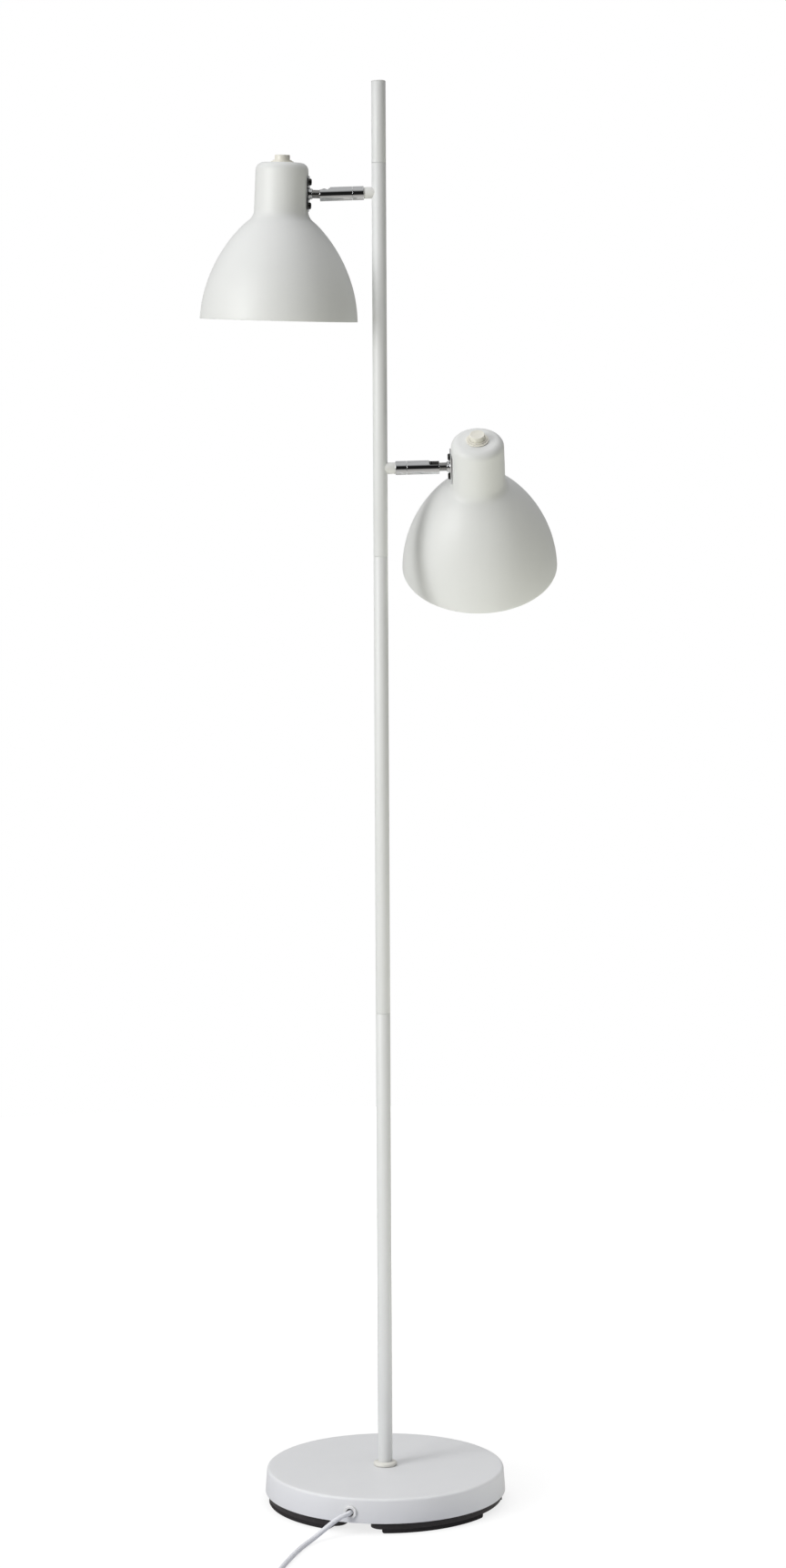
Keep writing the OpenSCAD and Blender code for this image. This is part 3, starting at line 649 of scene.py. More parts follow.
@dataclass(frozen=True)
class Webbing(Finish):
    """A woven band, its threads running across and along."""

    wave_scale: float = 75.0
    wave_wobble: float = 0.6
    thread_depth: float = 0.12

    def skin(self, bench: NodeBench) -> tuple[Socket, float]:
        """The weave.

        Args:
            bench: The material's tree.

        Returns:
            The relief, and its depth in millimetres.
        """
        across, along = (
            bench.add("ShaderNodeTexWave", Vector=bench.place, Scale=self.wave_scale,
                      bands_direction=axis, Distortion=self.wave_wobble).outputs["Fac"]
            for axis in ("X", "Y")
        )
        return bench.reckon("MAXIMUM", across, along), self.thread_depth


class Finishes(Enum):
    """The lamp's finishes."""

    SHADE_PAINT = Paint("shade_paint", (0.797, 0.806, 0.797), 0.46)
    POLE_PAINT = Paint("pole_paint", (0.790, 0.800, 0.800), 0.40)
    BASE_PAINT = Paint("base_paint", (0.786, 0.792, 0.806), 0.48)
    CHROME = Plating("polished_chrome", (0.78, 0.79, 0.80), 0.06, 1.0,
                     mottle=0.02, gloss_change=0.02)
    ZINC = Plating("zinc_plating", (0.58, 0.59, 0.61), 0.32, 1.0, mottle=0.06,
                   mottle_scale=60, gloss_change=0.08, swirl_depth=0.002)
    STEEL = Plating("bright_steel", (0.36, 0.36, 0.35), 0.24, 1.0, mottle=0.08,
                    mottle_scale=120, gloss_change=0.05, swirl_depth=0.001)
    # Near-black steel: the screws' own dark finish; on the ball also painted shade for the dark
    # inside of the barrel's slot.
    DARK_STEEL = Plating("dark_steel_and_painted_shade", (0.05, 0.05, 0.048), 0.28, 1.0, mottle=0.08,
                         mottle_scale=120, gloss_change=0.05, swirl_depth=0.001)
    BRASS = Plating("brass_shell", (0.72, 0.56, 0.28), 0.24, 1.0, mottle=0.08,
                    mottle_scale=80, gloss_change=0.06)
    CREAM = Moulding("cream_plastic", (0.84, 0.82, 0.74), 0.36)
    SPACER = Moulding("spacer_plastic", (0.80, 0.80, 0.78), 0.38)
    COLLAR = Moulding("collar_plastic", (0.79, 0.78, 0.73), 0.40)
    WHITE_PLASTIC = Moulding("white_plastic", (0.81, 0.81, 0.81), 0.34)
    PORCELAIN = Moulding("lampholder_plastic", (0.78, 0.78, 0.75), 0.30)
    SHEATH = Moulding("cord_sheath", (0.80, 0.81, 0.85), 0.44, skin_scale=1500,
                      skin_depth=0.002)
    BLACK_PLASTIC = Moulding("black_plastic", (0.022, 0.022, 0.024), 0.42, mottle=0.1)
    CAST_BLACK = Casting("cast_weight", (0.017, 0.014, 0.017), 0.58, mottle=0.25,
                         mottle_scale=120, gloss_change=0.08)
    FOAM_BLACK = Foam("foam_pad", (0.013, 0.011, 0.013), 0.85, mottle=0.25,
                      mottle_scale=300, gloss_change=0.05)
    BAND = Webbing("woven_band", (0.02, 0.02, 0.022), 0.8, mottle=0.2, mottle_scale=200)


@lru_cache(maxsize=None)
def dress(finish: Finishes) -> bpy.types.Material:
    """The material of a finish, made once."""
    return finish.value.build()


# ---- Fitting ---------------------------------------------------------------------------

def fit(bm: Mesh, name: str, place: Matrix, finish: Finishes, nodes: Sequence[str],
        crease: float = 32) -> Object:
    """Makes a shape a piece of the lamp.

    Args:
        bm: The shape, in millimetres, in its own frame.
        name: The piece's name.
        place: That frame, in metres.
        finish: The piece's finish.
        nodes: The CAD nodes that the piece stands for; it rides on the first one's body.
        crease: Least angle between faces that shows as an edge, in degrees.

    Returns:
        The piece.
    """
    bm.transform(place @ Matrix.Scale(MM, 4))
    obj = as_object(bm, name)
    for polygon in obj.data.polygons:
        polygon.use_smooth = True
    obj.data.set_sharp_from_angle(angle=math.radians(crease))
    obj.data.materials.append(dress(finish))
    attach(obj, frame["nodes"][nodes[0]]["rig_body"])
    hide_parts(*nodes)
    LOG.info("%s: %d faces, %s", name, len(obj.data.polygons), finish.value.name)
    return obj


def fit_copy(node: str, name: str, finish: Finishes, width: float, segments: int = 2,
             above: float = 40) -> Object:
    """Fits a copy of a CAD node with its edges rounded.

    Args:
        node: The CAD node.
        name: The piece's name.
        finish: The piece's finish.
        width: Width of the rounding, in millimetres.
        segments: Number of its steps.
        above: Least angle between the faces at an edge that is rounded, in degrees.

    Returns:
        The piece.
    """
    bm = round_edges(node_copy(node), width, segments, above)
    return fit(bm, name, STAND, finish, [node])


def keep_node(node: str, finish: Finishes) -> None:
    """Keeps a CAD node as it is, in a finish of its own.

    Args:
        node: The node's name.
        finish: The finish.
    """
    obj = frame["nodes"][node]
    if not obj.material_slots:
        obj.data.materials.append(None)
    for slot in obj.material_slots:
        slot.material = dress(finish)
    LOG.info("%s: kept, %s", node, finish.value.name)


def frame_at(origin: Sequence[float], x_axis: Vector, up: Vector) -> Matrix:
    """A right-handed frame.

    Args:
        origin: Its origin, in metres.
        x_axis: Its X.
        up: A direction that its Z is nearest to.

    Returns:
        The frame as a matrix.
    """
    x = x_axis.normalized()
    y = up.cross(x).normalized()
    z = x.cross(y)
    turn = Matrix((x, y, z)).transposed().to_4x4()
    return Matrix.Translation(origin) @ turn


# ---- Studio ----------------------------------------------------------------------------

@dataclass(frozen=True)
class SoftBox:
    """A soft lamp to the left of the camera: degrees round from the front, and metres."""

    name: str
    azimuth: float
    distance: float
    height: float
    size: Sequence[float]
    power: float
    aim_height: float = 0.9

    def build(self) -> None:
        """Hangs the lamp, facing the middle of the pole."""
        data = bpy.data.lights.new(self.name, "AREA")
        data.shape = "RECTANGLE"
        data.size, data.size_y = self.size
        data.energy = self.power
        obj = bpy.data.objects.new(self.name, data)
        turn = math.radians(self.azimuth)
        obj.location = (-self.distance * math.sin(turn), -self.distance * math.cos(turn),
                        self.height)
        aim = Vector((0, 0, self.aim_height)) - obj.location
        obj.rotation_euler = aim.to_track_quat("-Z", "Y").to_euler()
        obj.visible_camera = False
        bpy.context.scene.collection.objects.link(obj)


@dataclass
class Surroundings:
    """The world: white to the eye, soft light on the lamp, and for its metal a dark side
    behind the camera under a grey ceiling. The fades run over a direction's Y or Z."""

    overhead: Fade = Fade(0.5, 1.0, 0.03, 1.5)
    front: Fade = Fade(-0.2, -0.9, 0.0, 0.09)
    front_rise: Fade = Fade(-0.1, 0.2)
    ceiling: Fade = Fade(0.34, 0.82, 0.012, 0.52)
    behind: Fade = Fade(0.35, 0.8)
    behind_drop: Fade = Fade(0.25, 0.6, 1.0, 0.0)
    behind_glow: float = 0.4
    white: float = 1.0

    def build(self) -> None:
        """Hangs the world."""
        world = bpy.data.worlds.new("studio")
        bpy.context.scene.world = world
        bench = NodeBench(world, "Background", "Generated")
        path = bench.add("ShaderNodeLightPath").outputs
        sides = bench.add("ShaderNodeSeparateXYZ", Vector=bench.place).outputs
        depth, height = sides["Y"], sides["Z"]
        front = bench.reckon("MULTIPLY", self.front.over(bench, depth),
                             self.front_rise.over(bench, height))
        ambient = bench.reckon("ADD", self.overhead.over(bench, height), front)
        behind = bench.reckon("MULTIPLY", self.behind.over(bench, depth),
                              self.behind_drop.over(bench, height))
        in_metal = bench.mix(behind, self.ceiling.over(bench, height), self.behind_glow)
        lit = bench.mix(path["Is Glossy Ray"], ambient, in_metal)
        seen = bench.mix(path["Is Camera Ray"], lit, self.white)
        bench.give("Color", (1, 1, 1, 1))
        bench.give("Strength", bench.mix(path["Is Transmission Ray"], seen, self.white))


@dataclass
class Floor:
    """The floor: matt under the lamp, and white to the eye with the lamp's faint shadow. Its
    glow towards +X is painted fill light on the lamp's right side, and metal sees a painted
    reflection.
    Lengths in metres. The fades run over the distance from the pole, and bounce over X."""

    radius: float = 2.4
    drop: float = 0.0003
    sides: int = 128
    near: Colour = (0.68, 0.69, 0.75)
    far: Colour = (0.84, 0.84, 0.75)
    # Painted light: a glow that grows towards +X and lights the lamp's right side.
    bounce: Fade = Fade(0.02, 0.3, 0.0, 0.85)
    bounce_colour: Colour = (1.0, 1.0, 0.9)
    grain_scale: float = 300
    grain_dark: Colour = (0.27, 0.27, 0.27)
    grain_light: Colour = (0.28, 0.28, 0.28)
    lift: Fade = Fade(0.5, 1.3, 0.78, 1.0)
    lift_colour: Colour = (1.0, 1.0, 1.0)
    # Painted reflection: the warm glow that metal sees in place of the lit floor, brighter near
    # the pole.
    painted_reflection: Fade = Fade(0.3, 2.3, 0.62, 0.25, smooth=False)
    painted_reflection_colour: Colour = (1.0, 0.97, 0.93)

    def build(self) -> None:
        """Lays the floor."""
        bm = bmesh.new()
        bmesh.ops.create_circle(bm, cap_ends=True, radius=self.radius, segments=self.sides,
                                matrix=Matrix.Translation((0, 0, -self.drop)))
        obj = as_object(bm, "floor")
        obj.data.materials.append(self.finish())

    def finish(self) -> bpy.types.Material:
        """One surface for the lamp's light with a painted fill glow, one for the eye, and a
        painted reflection for the metal.

        Returns:
            The material.
        """
        bench = NodeBench(bpy.data.materials.new("studio_floor"))
        path = bench.add("ShaderNodeLightPath").outputs
        distance = bench.add("ShaderNodeVectorMath", operation="LENGTH",
                             Vector=bench.place).outputs["Value"]
        across = bench.add("ShaderNodeSeparateXYZ", Vector=bench.place).outputs["X"]
        # Painted light: the matt floor plus a glow towards +X that lights the lamp's right
        # side.
        lit = bench.join("ShaderNodeAddShader",
                         bench.matt(bench.tint(distance, self.near, self.far)),
                         bench.glow(self.bounce.over(bench, across), self.bounce_colour))
        grain = bench.noise(self.grain_scale, detail=2)
        seen = bench.join("ShaderNodeAddShader",
                          bench.matt(bench.tint(grain, self.grain_dark, self.grain_light)),
                          bench.glow(self.lift.over(bench, distance), self.lift_colour))
        # Painted reflection: metal sees this glow, not the floor's lit surface.
        in_metal = bench.glow(self.painted_reflection.over(bench, distance), self.painted_reflection_colour)
        by_eye = bench.reckon("MAXIMUM", path["Is Camera Ray"], path["Is Transmission Ray"])
        surface = bench.join("ShaderNodeMixShader", by_eye, lit, seen)
        surface = bench.join("ShaderNodeMixShader", path["Is Glossy Ray"], surface, in_metal)
        bench.feed(bench.tree.nodes["Material Output"].inputs["Surface"], surface)
        bench.tree.nodes.remove(bench.shader)
        return bench.owner


@dataclass
class Studio:
    """Camera and light round the lamp. Lengths in metres."""

    camera_place: Sequence[float] = (0.0128, -3.363, 0.9827)
    camera_roll: float = 0.29
    lens: float = 73.96
    sensor: float = 36.0
    shift: float = -0.1448
    nearest: float = 0.05
    farthest: float = 60.0
    lamps: Sequence[SoftBox] = (
        SoftBox("wash", 52.0, 2.5, 1.78, (1.9, 1.6), 27.0),
        SoftBox("key", 55.0, 3.0, 1.4, (0.8, 1.2), 26.0),
    )

    def build(self) -> None:
        """Builds the whole studio."""
        bpy.context.scene.view_settings.view_transform = "Standard"
        self.camera()
        Surroundings().build()
        Floor().build()
        for lamp in self.lamps:
            lamp.build()

    def camera(self) -> None:
        """Stands the camera where the photograph was taken from."""
        data = bpy.data.cameras.new("camera")
        data.sensor_width = self.sensor
        data.lens = self.lens
        data.shift_y = self.shift
        data.clip_start = self.nearest
        data.clip_end = self.farthest
        obj = bpy.data.objects.new("camera", data)
        obj.location = self.camera_place
        obj.rotation_euler = (math.radians(90), math.radians(self.camera_roll), 0)
        bpy.context.scene.collection.objects.link(obj)
        bpy.context.scene.camera = obj


# ---- Flex ------------------------------------------------------------------------------

@dataclass
class Flex:
    """The mains cord: out of its hole in the base, along the floor, into a coil in front
    of the lamp, and to its plug. The points are the CAD route's, in metres, and the
    roundings of its fittings are in millimetres."""

    diameter: float = 0.005
    coil_centre: Sequence[float] = (-0.0705, -0.308, 0.0033)
    coil_radius: float = 0.0185
    pitch: float = 0.0055
    turns_in: float = 4.0
    turns_out: float = 4.25
    climb_turns: float = 0.5
    points_per_turn: int = 24
    steps_per_point: int = 4
    bevel_steps: int = 5
    exit_index: int = 3
    tie_round: float = 0.25
    plug_round: float = 1.1
    pin_round: float = 0.1
    route: Sequence[Sequence[float]] = (
        (-0.0282, -0.0959, 0.021), (-0.0311, -0.1055, 0.021), (-0.0336, -0.1142, 0.021),
        (-0.0357, -0.1208, 0.0209), (-0.0384, -0.1244, 0.0204), (-0.0423, -0.1272, 0.0194),
        (-0.0469, -0.1299, 0.0177), (-0.0519, -0.1329, 0.0152), (-0.057, -0.1364, 0.0121),
        (-0.0622, -0.1404, 0.0089), (-0.0673, -0.1452, 0.0061), (-0.0722, -0.1512, 0.004),
        (-0.0768, -0.1592, 0.0029), (-0.081, -0.169, 0.0025), (-0.0852, -0.1815, 0.0025),
        (-0.0896, -0.196, 0.0025), (-0.0939, -0.212, 0.0025), (-0.098, -0.228, 0.0025),
        (-0.1018, -0.244, 0.0025), (-0.1052, -0.259, 0.0025), (-0.1082, -0.273, 0.0027),
        (-0.1102, -0.285, 0.0031), (-0.111, -0.294, 0.0033), (-0.111, -0.303, 0.0033),
    )
    tail: Sequence[Sequence[float]] = (
        (-0.0605, -0.349875, 0.0088), (-0.053, -0.349, 0.0086), (-0.045, -0.346, 0.008),
        (-0.037, -0.3415, 0.0073), (-0.029, -0.337, 0.0069), (-0.02, -0.3345, 0.00685),
        (-0.012, -0.334, 0.00685), (-0.006, -0.334, 0.00685),
    )

    def coil_point(self, turn: float) -> Vector:
        """The cord's centre in the coil.

        Args:
            turn: Number of turns since the coil's start.

        Returns:
            The point, in metres.
        """
        radius = self.coil_radius + self.pitch * abs(turn - self.turns_in)
        climb = min(1.0, max(0.0, (turn - self.turns_in) / self.climb_turns + 0.5))
        height = self.pitch * climb * climb * (3 - 2 * climb)
        angle = math.pi + math.tau * turn
        return Vector(self.coil_centre) + Vector(
            (radius * math.cos(angle), radius * math.sin(angle), height))

    def line(self) -> list[Vector]:
        """The cord's centreline.

        Returns:
            Its points, from inside the base to the plug.
        """
        steps = round((self.turns_in + self.turns_out) * self.points_per_turn)
        coil = [self.coil_point(i / self.points_per_turn) for i in range(steps + 1)]
        return [Vector(p) for p in self.route] + coil + [Vector(p) for p in self.tail]

    def build(self) -> None:
        """Lays the cord with its tie and plug."""
        line = self.line()
        data = bpy.data.curves.new("mains_cord", "CURVE")
        data.dimensions = "3D"
        data.resolution_u = self.steps_per_point
        data.bevel_depth = self.diameter / 2
        data.bevel_resolution = self.bevel_steps
        data.use_fill_caps = True
        spline = data.splines.new("BEZIER")
        spline.bezier_points.add(len(line) - 1)
        for knot, place in zip(spline.bezier_points, line):
            knot.co = place
            knot.handle_left_type = knot.handle_right_type = "AUTO"
        cord = bpy.data.objects.new("mains_cord", data)
        bpy.context.scene.collection.objects.link(cord)
        data.materials.append(dress(Finishes.SHEATH))
        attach(cord, "stand")
        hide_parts("cord", "cord_coil")
        fittings = [
            fit_copy("cord_tie", "coil_tie", Finishes.BAND, self.tie_round),
            fit_copy("plug_body", "mains_plug", Finishes.WHITE_PLASTIC, self.plug_round,
                     segments=3),
            fit_copy("plug_pins", "mains_pins", Finishes.ZINC, self.pin_round, segments=1,
                     above=60),
        ]


# ---- Base ------------------------------------------------------------------------------

@dataclass
class Base:
    """Weighted base, in millimetres."""

    rim_radius: float = 125.0
    draw: float = 1.5
    bottom: float = 10.6
    top: float = 35.0
    wall: float = 1.2
    edge_radius: float = 3.0
    edge_stop: float = 4.0
    edge_steps: int = 8
    hem_round: float = 0.4
    top_rings: Sequence[float] = (12, 40, 80)
    last_ring_in: float = 8.0
    pipe_hole: float = 5.3
    widen: float = 1.03
    widen_beyond: float = 90.0
    weight_round: float = 1.2
    pad_width: float = 5.0
    pad_end_round: float = 2.4
    pad_round: float = 0.5
    cord_turn: float = 16.4
    cord_height: float = 21.0
    cord_hole: float = 5.2
    drill_reach: float = 12.0
    flange_radius: float = 6.75
    flange_stand: float = 1.6
    flange_seat: float = 0.2
    flange_round: float = 0.55
    sleeve_radius: float = 5.1
    sleeve_in: float = 1.7
    bore: float = 4.0
    collar_radius: float = 12.25
    collar_height: float = 4.5
    collar_edge: float = 2.0
    collar_slope: float = 62.0
    collar_lip: Point = (1.0, 1.4)
    collar_break: float = 0.2
    collar_floor: float = 1.5
    pole_radius: float = 7.5
    pole_gap: float = 0.05

    def build(self) -> None:
        """Builds the base."""
        self.cover()
        self.collar()
        self.grommet()
        self.weight()
        self.pads()
        for node in ("base_pipe", "base_nut"):
            keep_node(node, Finishes.ZINC)
        keep_node("cord_clamp", Finishes.BLACK_PLASTIC)
        keep_node("inner_lead", Finishes.SHEATH)

    def hole_frame(self) -> Matrix:
        """The cord hole's frame: X runs out of the base along the hole."""
        turn = math.radians(270 - self.cord_turn)
        return Matrix.Rotation(turn, 4, "Z") @ Matrix.Translation((0, 0, self.cord_height))

    def cover(self) -> None:
        """Pressed cover: flat top, rolled edge and slightly drawn side."""
        inner_radius = self.rim_radius - self.wall
        edge = (self.rim_radius - self.draw - self.edge_radius, self.top - self.edge_radius)
        outside = arc(edge, self.edge_radius, 90, self.edge_stop, self.edge_steps)
        inside = arc(edge, self.edge_radius - self.wall, self.edge_stop, 90, self.edge_steps)
        rings = [self.pipe_hole, *self.top_rings, edge[0] - self.last_ring_in]
        over = [(r, self.top) for r in rings]
        under = [(r, self.top - self.wall) for r in reversed(rings)]
        hem = [(self.rim_radius, self.bottom), (inner_radius, self.bottom)]
        bm = lathe(over + outside + hem + inside + under, segments=192, ring=True)
        low = [e for e in sharp_edges(bm, above=40)
               if all(v.co.z < self.bottom + LEVEL for v in e.verts)]
        bevel(bm, low, self.hem_round)
        drill = rod(self.cord_hole, self.rim_radius - self.drill_reach,
                    self.rim_radius + self.drill_reach, segments=48)
        bm = cut(bm, moved(drill, self.hole_frame()))
        fit(bm, "cover", STAND, Finishes.BASE_PAINT, ["base_cover"])

    def widened(self, node: str) -> Mesh:
        """Brings the outer part of a piece out nearer to the cover.

        Args:
            node: The piece's CAD node.

        Returns:
            A changed copy of it.
        """
        bm = node_copy(node)
        for v in bm.verts:
            if v.co.xy.length > self.widen_beyond:
                v.co.xy *= self.widen
        return bm

    def weight(self) -> None:
        """Cast weight, its edges worn soft."""
        bm = self.widened("base_weight")
        round_edges(bm, self.weight_round, segments=3, above=40)
        fit(bm, "weight", STAND, Finishes.CAST_BLACK, ["base_weight"])

    def pads(self) -> None:
        """Foot pads, the ends of their undersides cut round."""
        bm = self.widened("foot_pads")
        ends = [e for e in bm.edges if all(v.co.z < LEVEL for v in e.verts)
                and abs(e.verts[0].co.xy.length - e.verts[1].co.xy.length) > self.pad_width]
        bevel(bm, ends, self.pad_end_round, segments=5)
        fit(round_edges(bm, self.pad_round, above=50), "pads", STAND, Finishes.FOAM_BLACK,
            ["foot_pads"])

    def collar(self) -> None:
        """Rounded plastic collar at the pole's foot."""
        edge = (self.collar_radius - self.collar_edge, self.collar_edge)
        top = self.collar_height
        shoulder = top - self.collar_break
        lip_in, lip_out = self.collar_lip
        bore = self.pole_radius + self.pole_gap
        profile = [(self.pipe_hole, 0)]
        profile += arc(edge, self.collar_edge, -90, self.collar_slope, steps=12)
        profile += [(self.pole_radius + lip_out, shoulder), (self.pole_radius + lip_in, top),
                    (self.pole_radius + self.collar_break, top), (bore, shoulder),
                    (bore, self.collar_floor), (self.pipe_hole, self.collar_floor)]
        fit(lathe(profile, ring=True), "collar", Matrix.Translation((0, 0, self.top * MM)),
            Finishes.COLLAR, ["base_collar"])

    def grommet(self) -> None:
        """Flanged ring that lines the cord hole."""
        face = self.rim_radius - self.draw / 2
        front = self.rim_radius + self.flange_stand
        back, seat = face - self.sleeve_in, face - self.flange_seat
        profile = [(self.bore, back), (self.sleeve_radius, back), (self.sleeve_radius, seat),
                   (self.flange_radius, seat), (self.flange_radius, front), (self.bore, front)]
        ring = round_edges(lathe(profile, segments=64, ring=True), self.flange_round,
                           segments=4, above=60)
        place = self.hole_frame()
        place.translation *= MM
        fit(along_x(ring), "grommet", place, Finishes.WHITE_PLASTIC, ["cord_grommet"])


# ---- Pole ------------------------------------------------------------------------------

@dataclass
class Pole:
    """The four painted tubes and the cap on top, in millimetres."""

    wall: float = 1.0
    seam_chamfer: float = 0.42
    seam_gap: float = 0.05
    arm_hole: float = 4.3
    drill_start: float = 0.5
    cap_round: float = 0.1

    def build(self, arms: Sequence["Arm"]) -> None:
        """Builds the pole.

        Args:
            arms: The arms that its upper tube is drilled for.
        """
        for level in ("lower", "middle", "upper", "top"):
            self.tube(level, arms if level == "upper" else ())
        fit_copy("pole_cap", "end_cap", Finishes.WHITE_PLASTIC, self.cap_round, segments=1,
                 above=60)
        for node in ("pole_sockets", "pole_studs"):
            keep_node(node, Finishes.ZINC)

    def tube(self, level: str, arms: Sequence["Arm"]) -> None:
        """One tube, its ends lightly broken so that the seams show as hairlines.

        Args:
            level: The tube's place on the pole.
            arms: The arms that it is drilled for.
        """
        node = "pole_" + level
        low, high = (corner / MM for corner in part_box(node))
        radius = high.x
        start, end = low.z + self.seam_gap, high.z - self.seam_gap
        profile = [(radius - self.wall, start), (radius, start), (radius, end),
                   (radius - self.wall, end)]
        bm = round_edges(lathe(profile, ring=True), self.seam_chamfer, above=60)
        for arm in arms:
            drill = rod(self.arm_hole, self.drill_start, 2 * radius, segments=48)
            bm = cut(bm, moved(drill, arm.pole_frame()))
        fit(bm, level + "_tube", STAND, Finishes.POLE_PAINT, [node])


# ---- Arms and heads --------------------------------------------------------------------

class Side(Enum):
    """The lamp's two heads."""

    UPPER = "upper"
    LOWER = "lower"


@dataclass
class Arm:
    """A chrome arm with its swivelling barrel and ball. X runs out along the arm, and
    lengths in millimetres start at the ball's centre."""

    side: Side
    reach: float = 57.2
    pipe_hole: float = 4.05
    barrel_radius: float = 7.2
    collar_start: float = -41.3
    collar_end: float = -29.7
    barrel_start: float = -29.4
    barrel_end: float = 4.5
    end_wall: float = 3.0
    nut_bore: float = 5.5
    step: float = -21.2
    ball_bore: float = 6.2
    lip: float = 0.9
    lip_radius: float = 5.2
    edge: float = 0.22
    slot_width: float = 11.0
    slot_length: float = 10.7
    slot_round: float = 1.5
    slot_over: float = 5.0
    ball_radius: float = 5.9
    ball_steps: int = 28
    stem_radius: float = 4.4
    stem_bore: float = 2.7
    stem_end: float = 24.5
    thread_pitch: float = 0.75
    thread_depth: float = 0.07
    spacer_round: float = 0.35

    def joint(self, motion: str) -> dict:
        """The record's joint of this head that makes a motion."""
        name = f"{self.side.value}_{motion}"
        return next(j for j in frame["joints"] if j["name"] == name)

    def node(self, name: str) -> str:
        """The name of one of this head's CAD nodes."""
        return f"{self.side.value}_{name}"

    def ball(self) -> Vector:
        """The ball's centre, in metres."""
        return Vector(self.joint("tilt")["pos_m"])

    def arm_frame(self) -> Matrix:
        """The fixed arm's frame, at the ball's centre, in metres."""
        axis = Vector(self.joint("swivel")["axis"])
        return frame_at(self.ball(), axis, Vector((0, 0, 1)))

    def barrel_frame(self) -> Matrix:
        """The barrel's frame.

        Returns:
            The frame, its Z through the slot, in metres.
        """
        axis = Vector(self.joint("swivel")["axis"])
        across = -Vector(self.joint("tilt")["axis"])
        return frame_at(self.ball(), axis, axis.cross(across))

    def head_frame(self) -> Matrix:
        """The head's frame, at the ball's centre, its Z up along the shade, in metres."""
        return frame_at(self.ball(), Vector(self.joint("spin")["axis"]),
                        -Vector(self.joint("press")["axis"]))

    def pole_frame(self) -> Matrix:
        """The arm's frame, moved to the pole's axis.

        Returns:
            The frame, in millimetres.
        """
        place = self.arm_frame() @ Matrix.Translation((-self.reach * MM, 0, 0))
        place.translation /= MM
        return place

    def build(self) -> None:
        """Builds the arm."""
        name = self.node
        fit_copy(name("spacer"), name("arm_spacer"), Finishes.SPACER, self.spacer_round,
                 above=50)
        self.collar()
        self.barrel()
        self.ball_stud()
        for node in ("arm_anchor", "arm_pipe", "swivel_nut", "spring_washers"):
            keep_node(name(node), Finishes.ZINC)
        keep_node(name("ball_seat"), Finishes.BLACK_PLASTIC)

    def collar(self) -> None:
        """The fixed chrome collar next to the spacer."""
        profile = [(self.pipe_hole, self.collar_start), (self.barrel_radius, self.collar_start),
                   (self.barrel_radius, self.collar_end), (self.pipe_hole, self.collar_end)]
        bm = round_edges(lathe(profile, ring=True), self.edge, segments=3, above=60)
        fit(along_x(bm), self.node("arm_collar"), self.arm_frame(), Finishes.CHROME,
            [self.node("swivel_collar")])

    def barrel(self) -> None:
        """The turning barrel, bored for nut and ball, with the slot in its end."""
        start, end = self.barrel_start, self.barrel_end
        outside = [(self.barrel_radius, start), (self.barrel_radius, end)]
        inside = [
            (self.lip_radius, end), (self.lip_radius, end - self.lip),
            (self.ball_bore, end - self.lip), (self.ball_bore, self.step),
            (self.nut_bore, self.step), (self.nut_bore, start + self.end_wall),
            (self.pipe_hole, start + self.end_wall), (self.pipe_hole, start),
        ]
        bm = lathe(outside + inside, ring=True)
        rims = [e for e in sharp_edges(bm, above=60)
                if all(abs(v.co.xy.length - self.barrel_radius) < LEVEL for v in e.verts)]
        bevel(bm, rims, self.edge, segments=3)
        half = self.slot_width / 2
        slot = block((end - self.slot_length, -half, 0),
                     (end + self.slot_over, half, 2 * self.barrel_radius))
        corners = [e for e in slot.edges if all(v.co.x < end for v in e.verts)
                   and abs(e.verts[0].co.z - e.verts[1].co.z) > self.barrel_radius]
        bevel(slot, corners, self.slot_round, segments=5)
        fit(cut(along_x(bm), slot), self.node("turning_barrel"), self.barrel_frame(),
            Finishes.CHROME, [self.node("barrel")])

    def ball_stud(self) -> None:
        """The ball and its hollow threaded stem, each in a finish of its own."""
        meet = math.degrees(math.asin(self.stem_radius / self.ball_radius))
        open_at = math.degrees(math.asin(self.stem_bore / self.ball_radius))
        round_part = arc((0, 0), self.ball_radius, 180 - open_at, meet, self.ball_steps)
        ball = [(r, x) for x, r in round_part]
        root = ball[-1][1]
        ball.append((self.stem_bore, root))
        stem = thread_line(self.stem_radius, self.thread_depth, root, self.stem_end,
                           self.thread_pitch)
        stem += [(self.stem_bore, self.stem_end), (self.stem_bore, root)]
        # The ball's near-black steel is partly painted shade, standing in for the dark slot
        # round it.
        for name, profile, finish in (("ball", ball, Finishes.DARK_STEEL),
                                      ("stem", stem, Finishes.STEEL)):
            bm = along_x(lathe(profile, segments=64, ring=True))
            fit(bm, self.node(name), self.head_frame(), finish, [self.node("ball_stud")],
                crease=50)


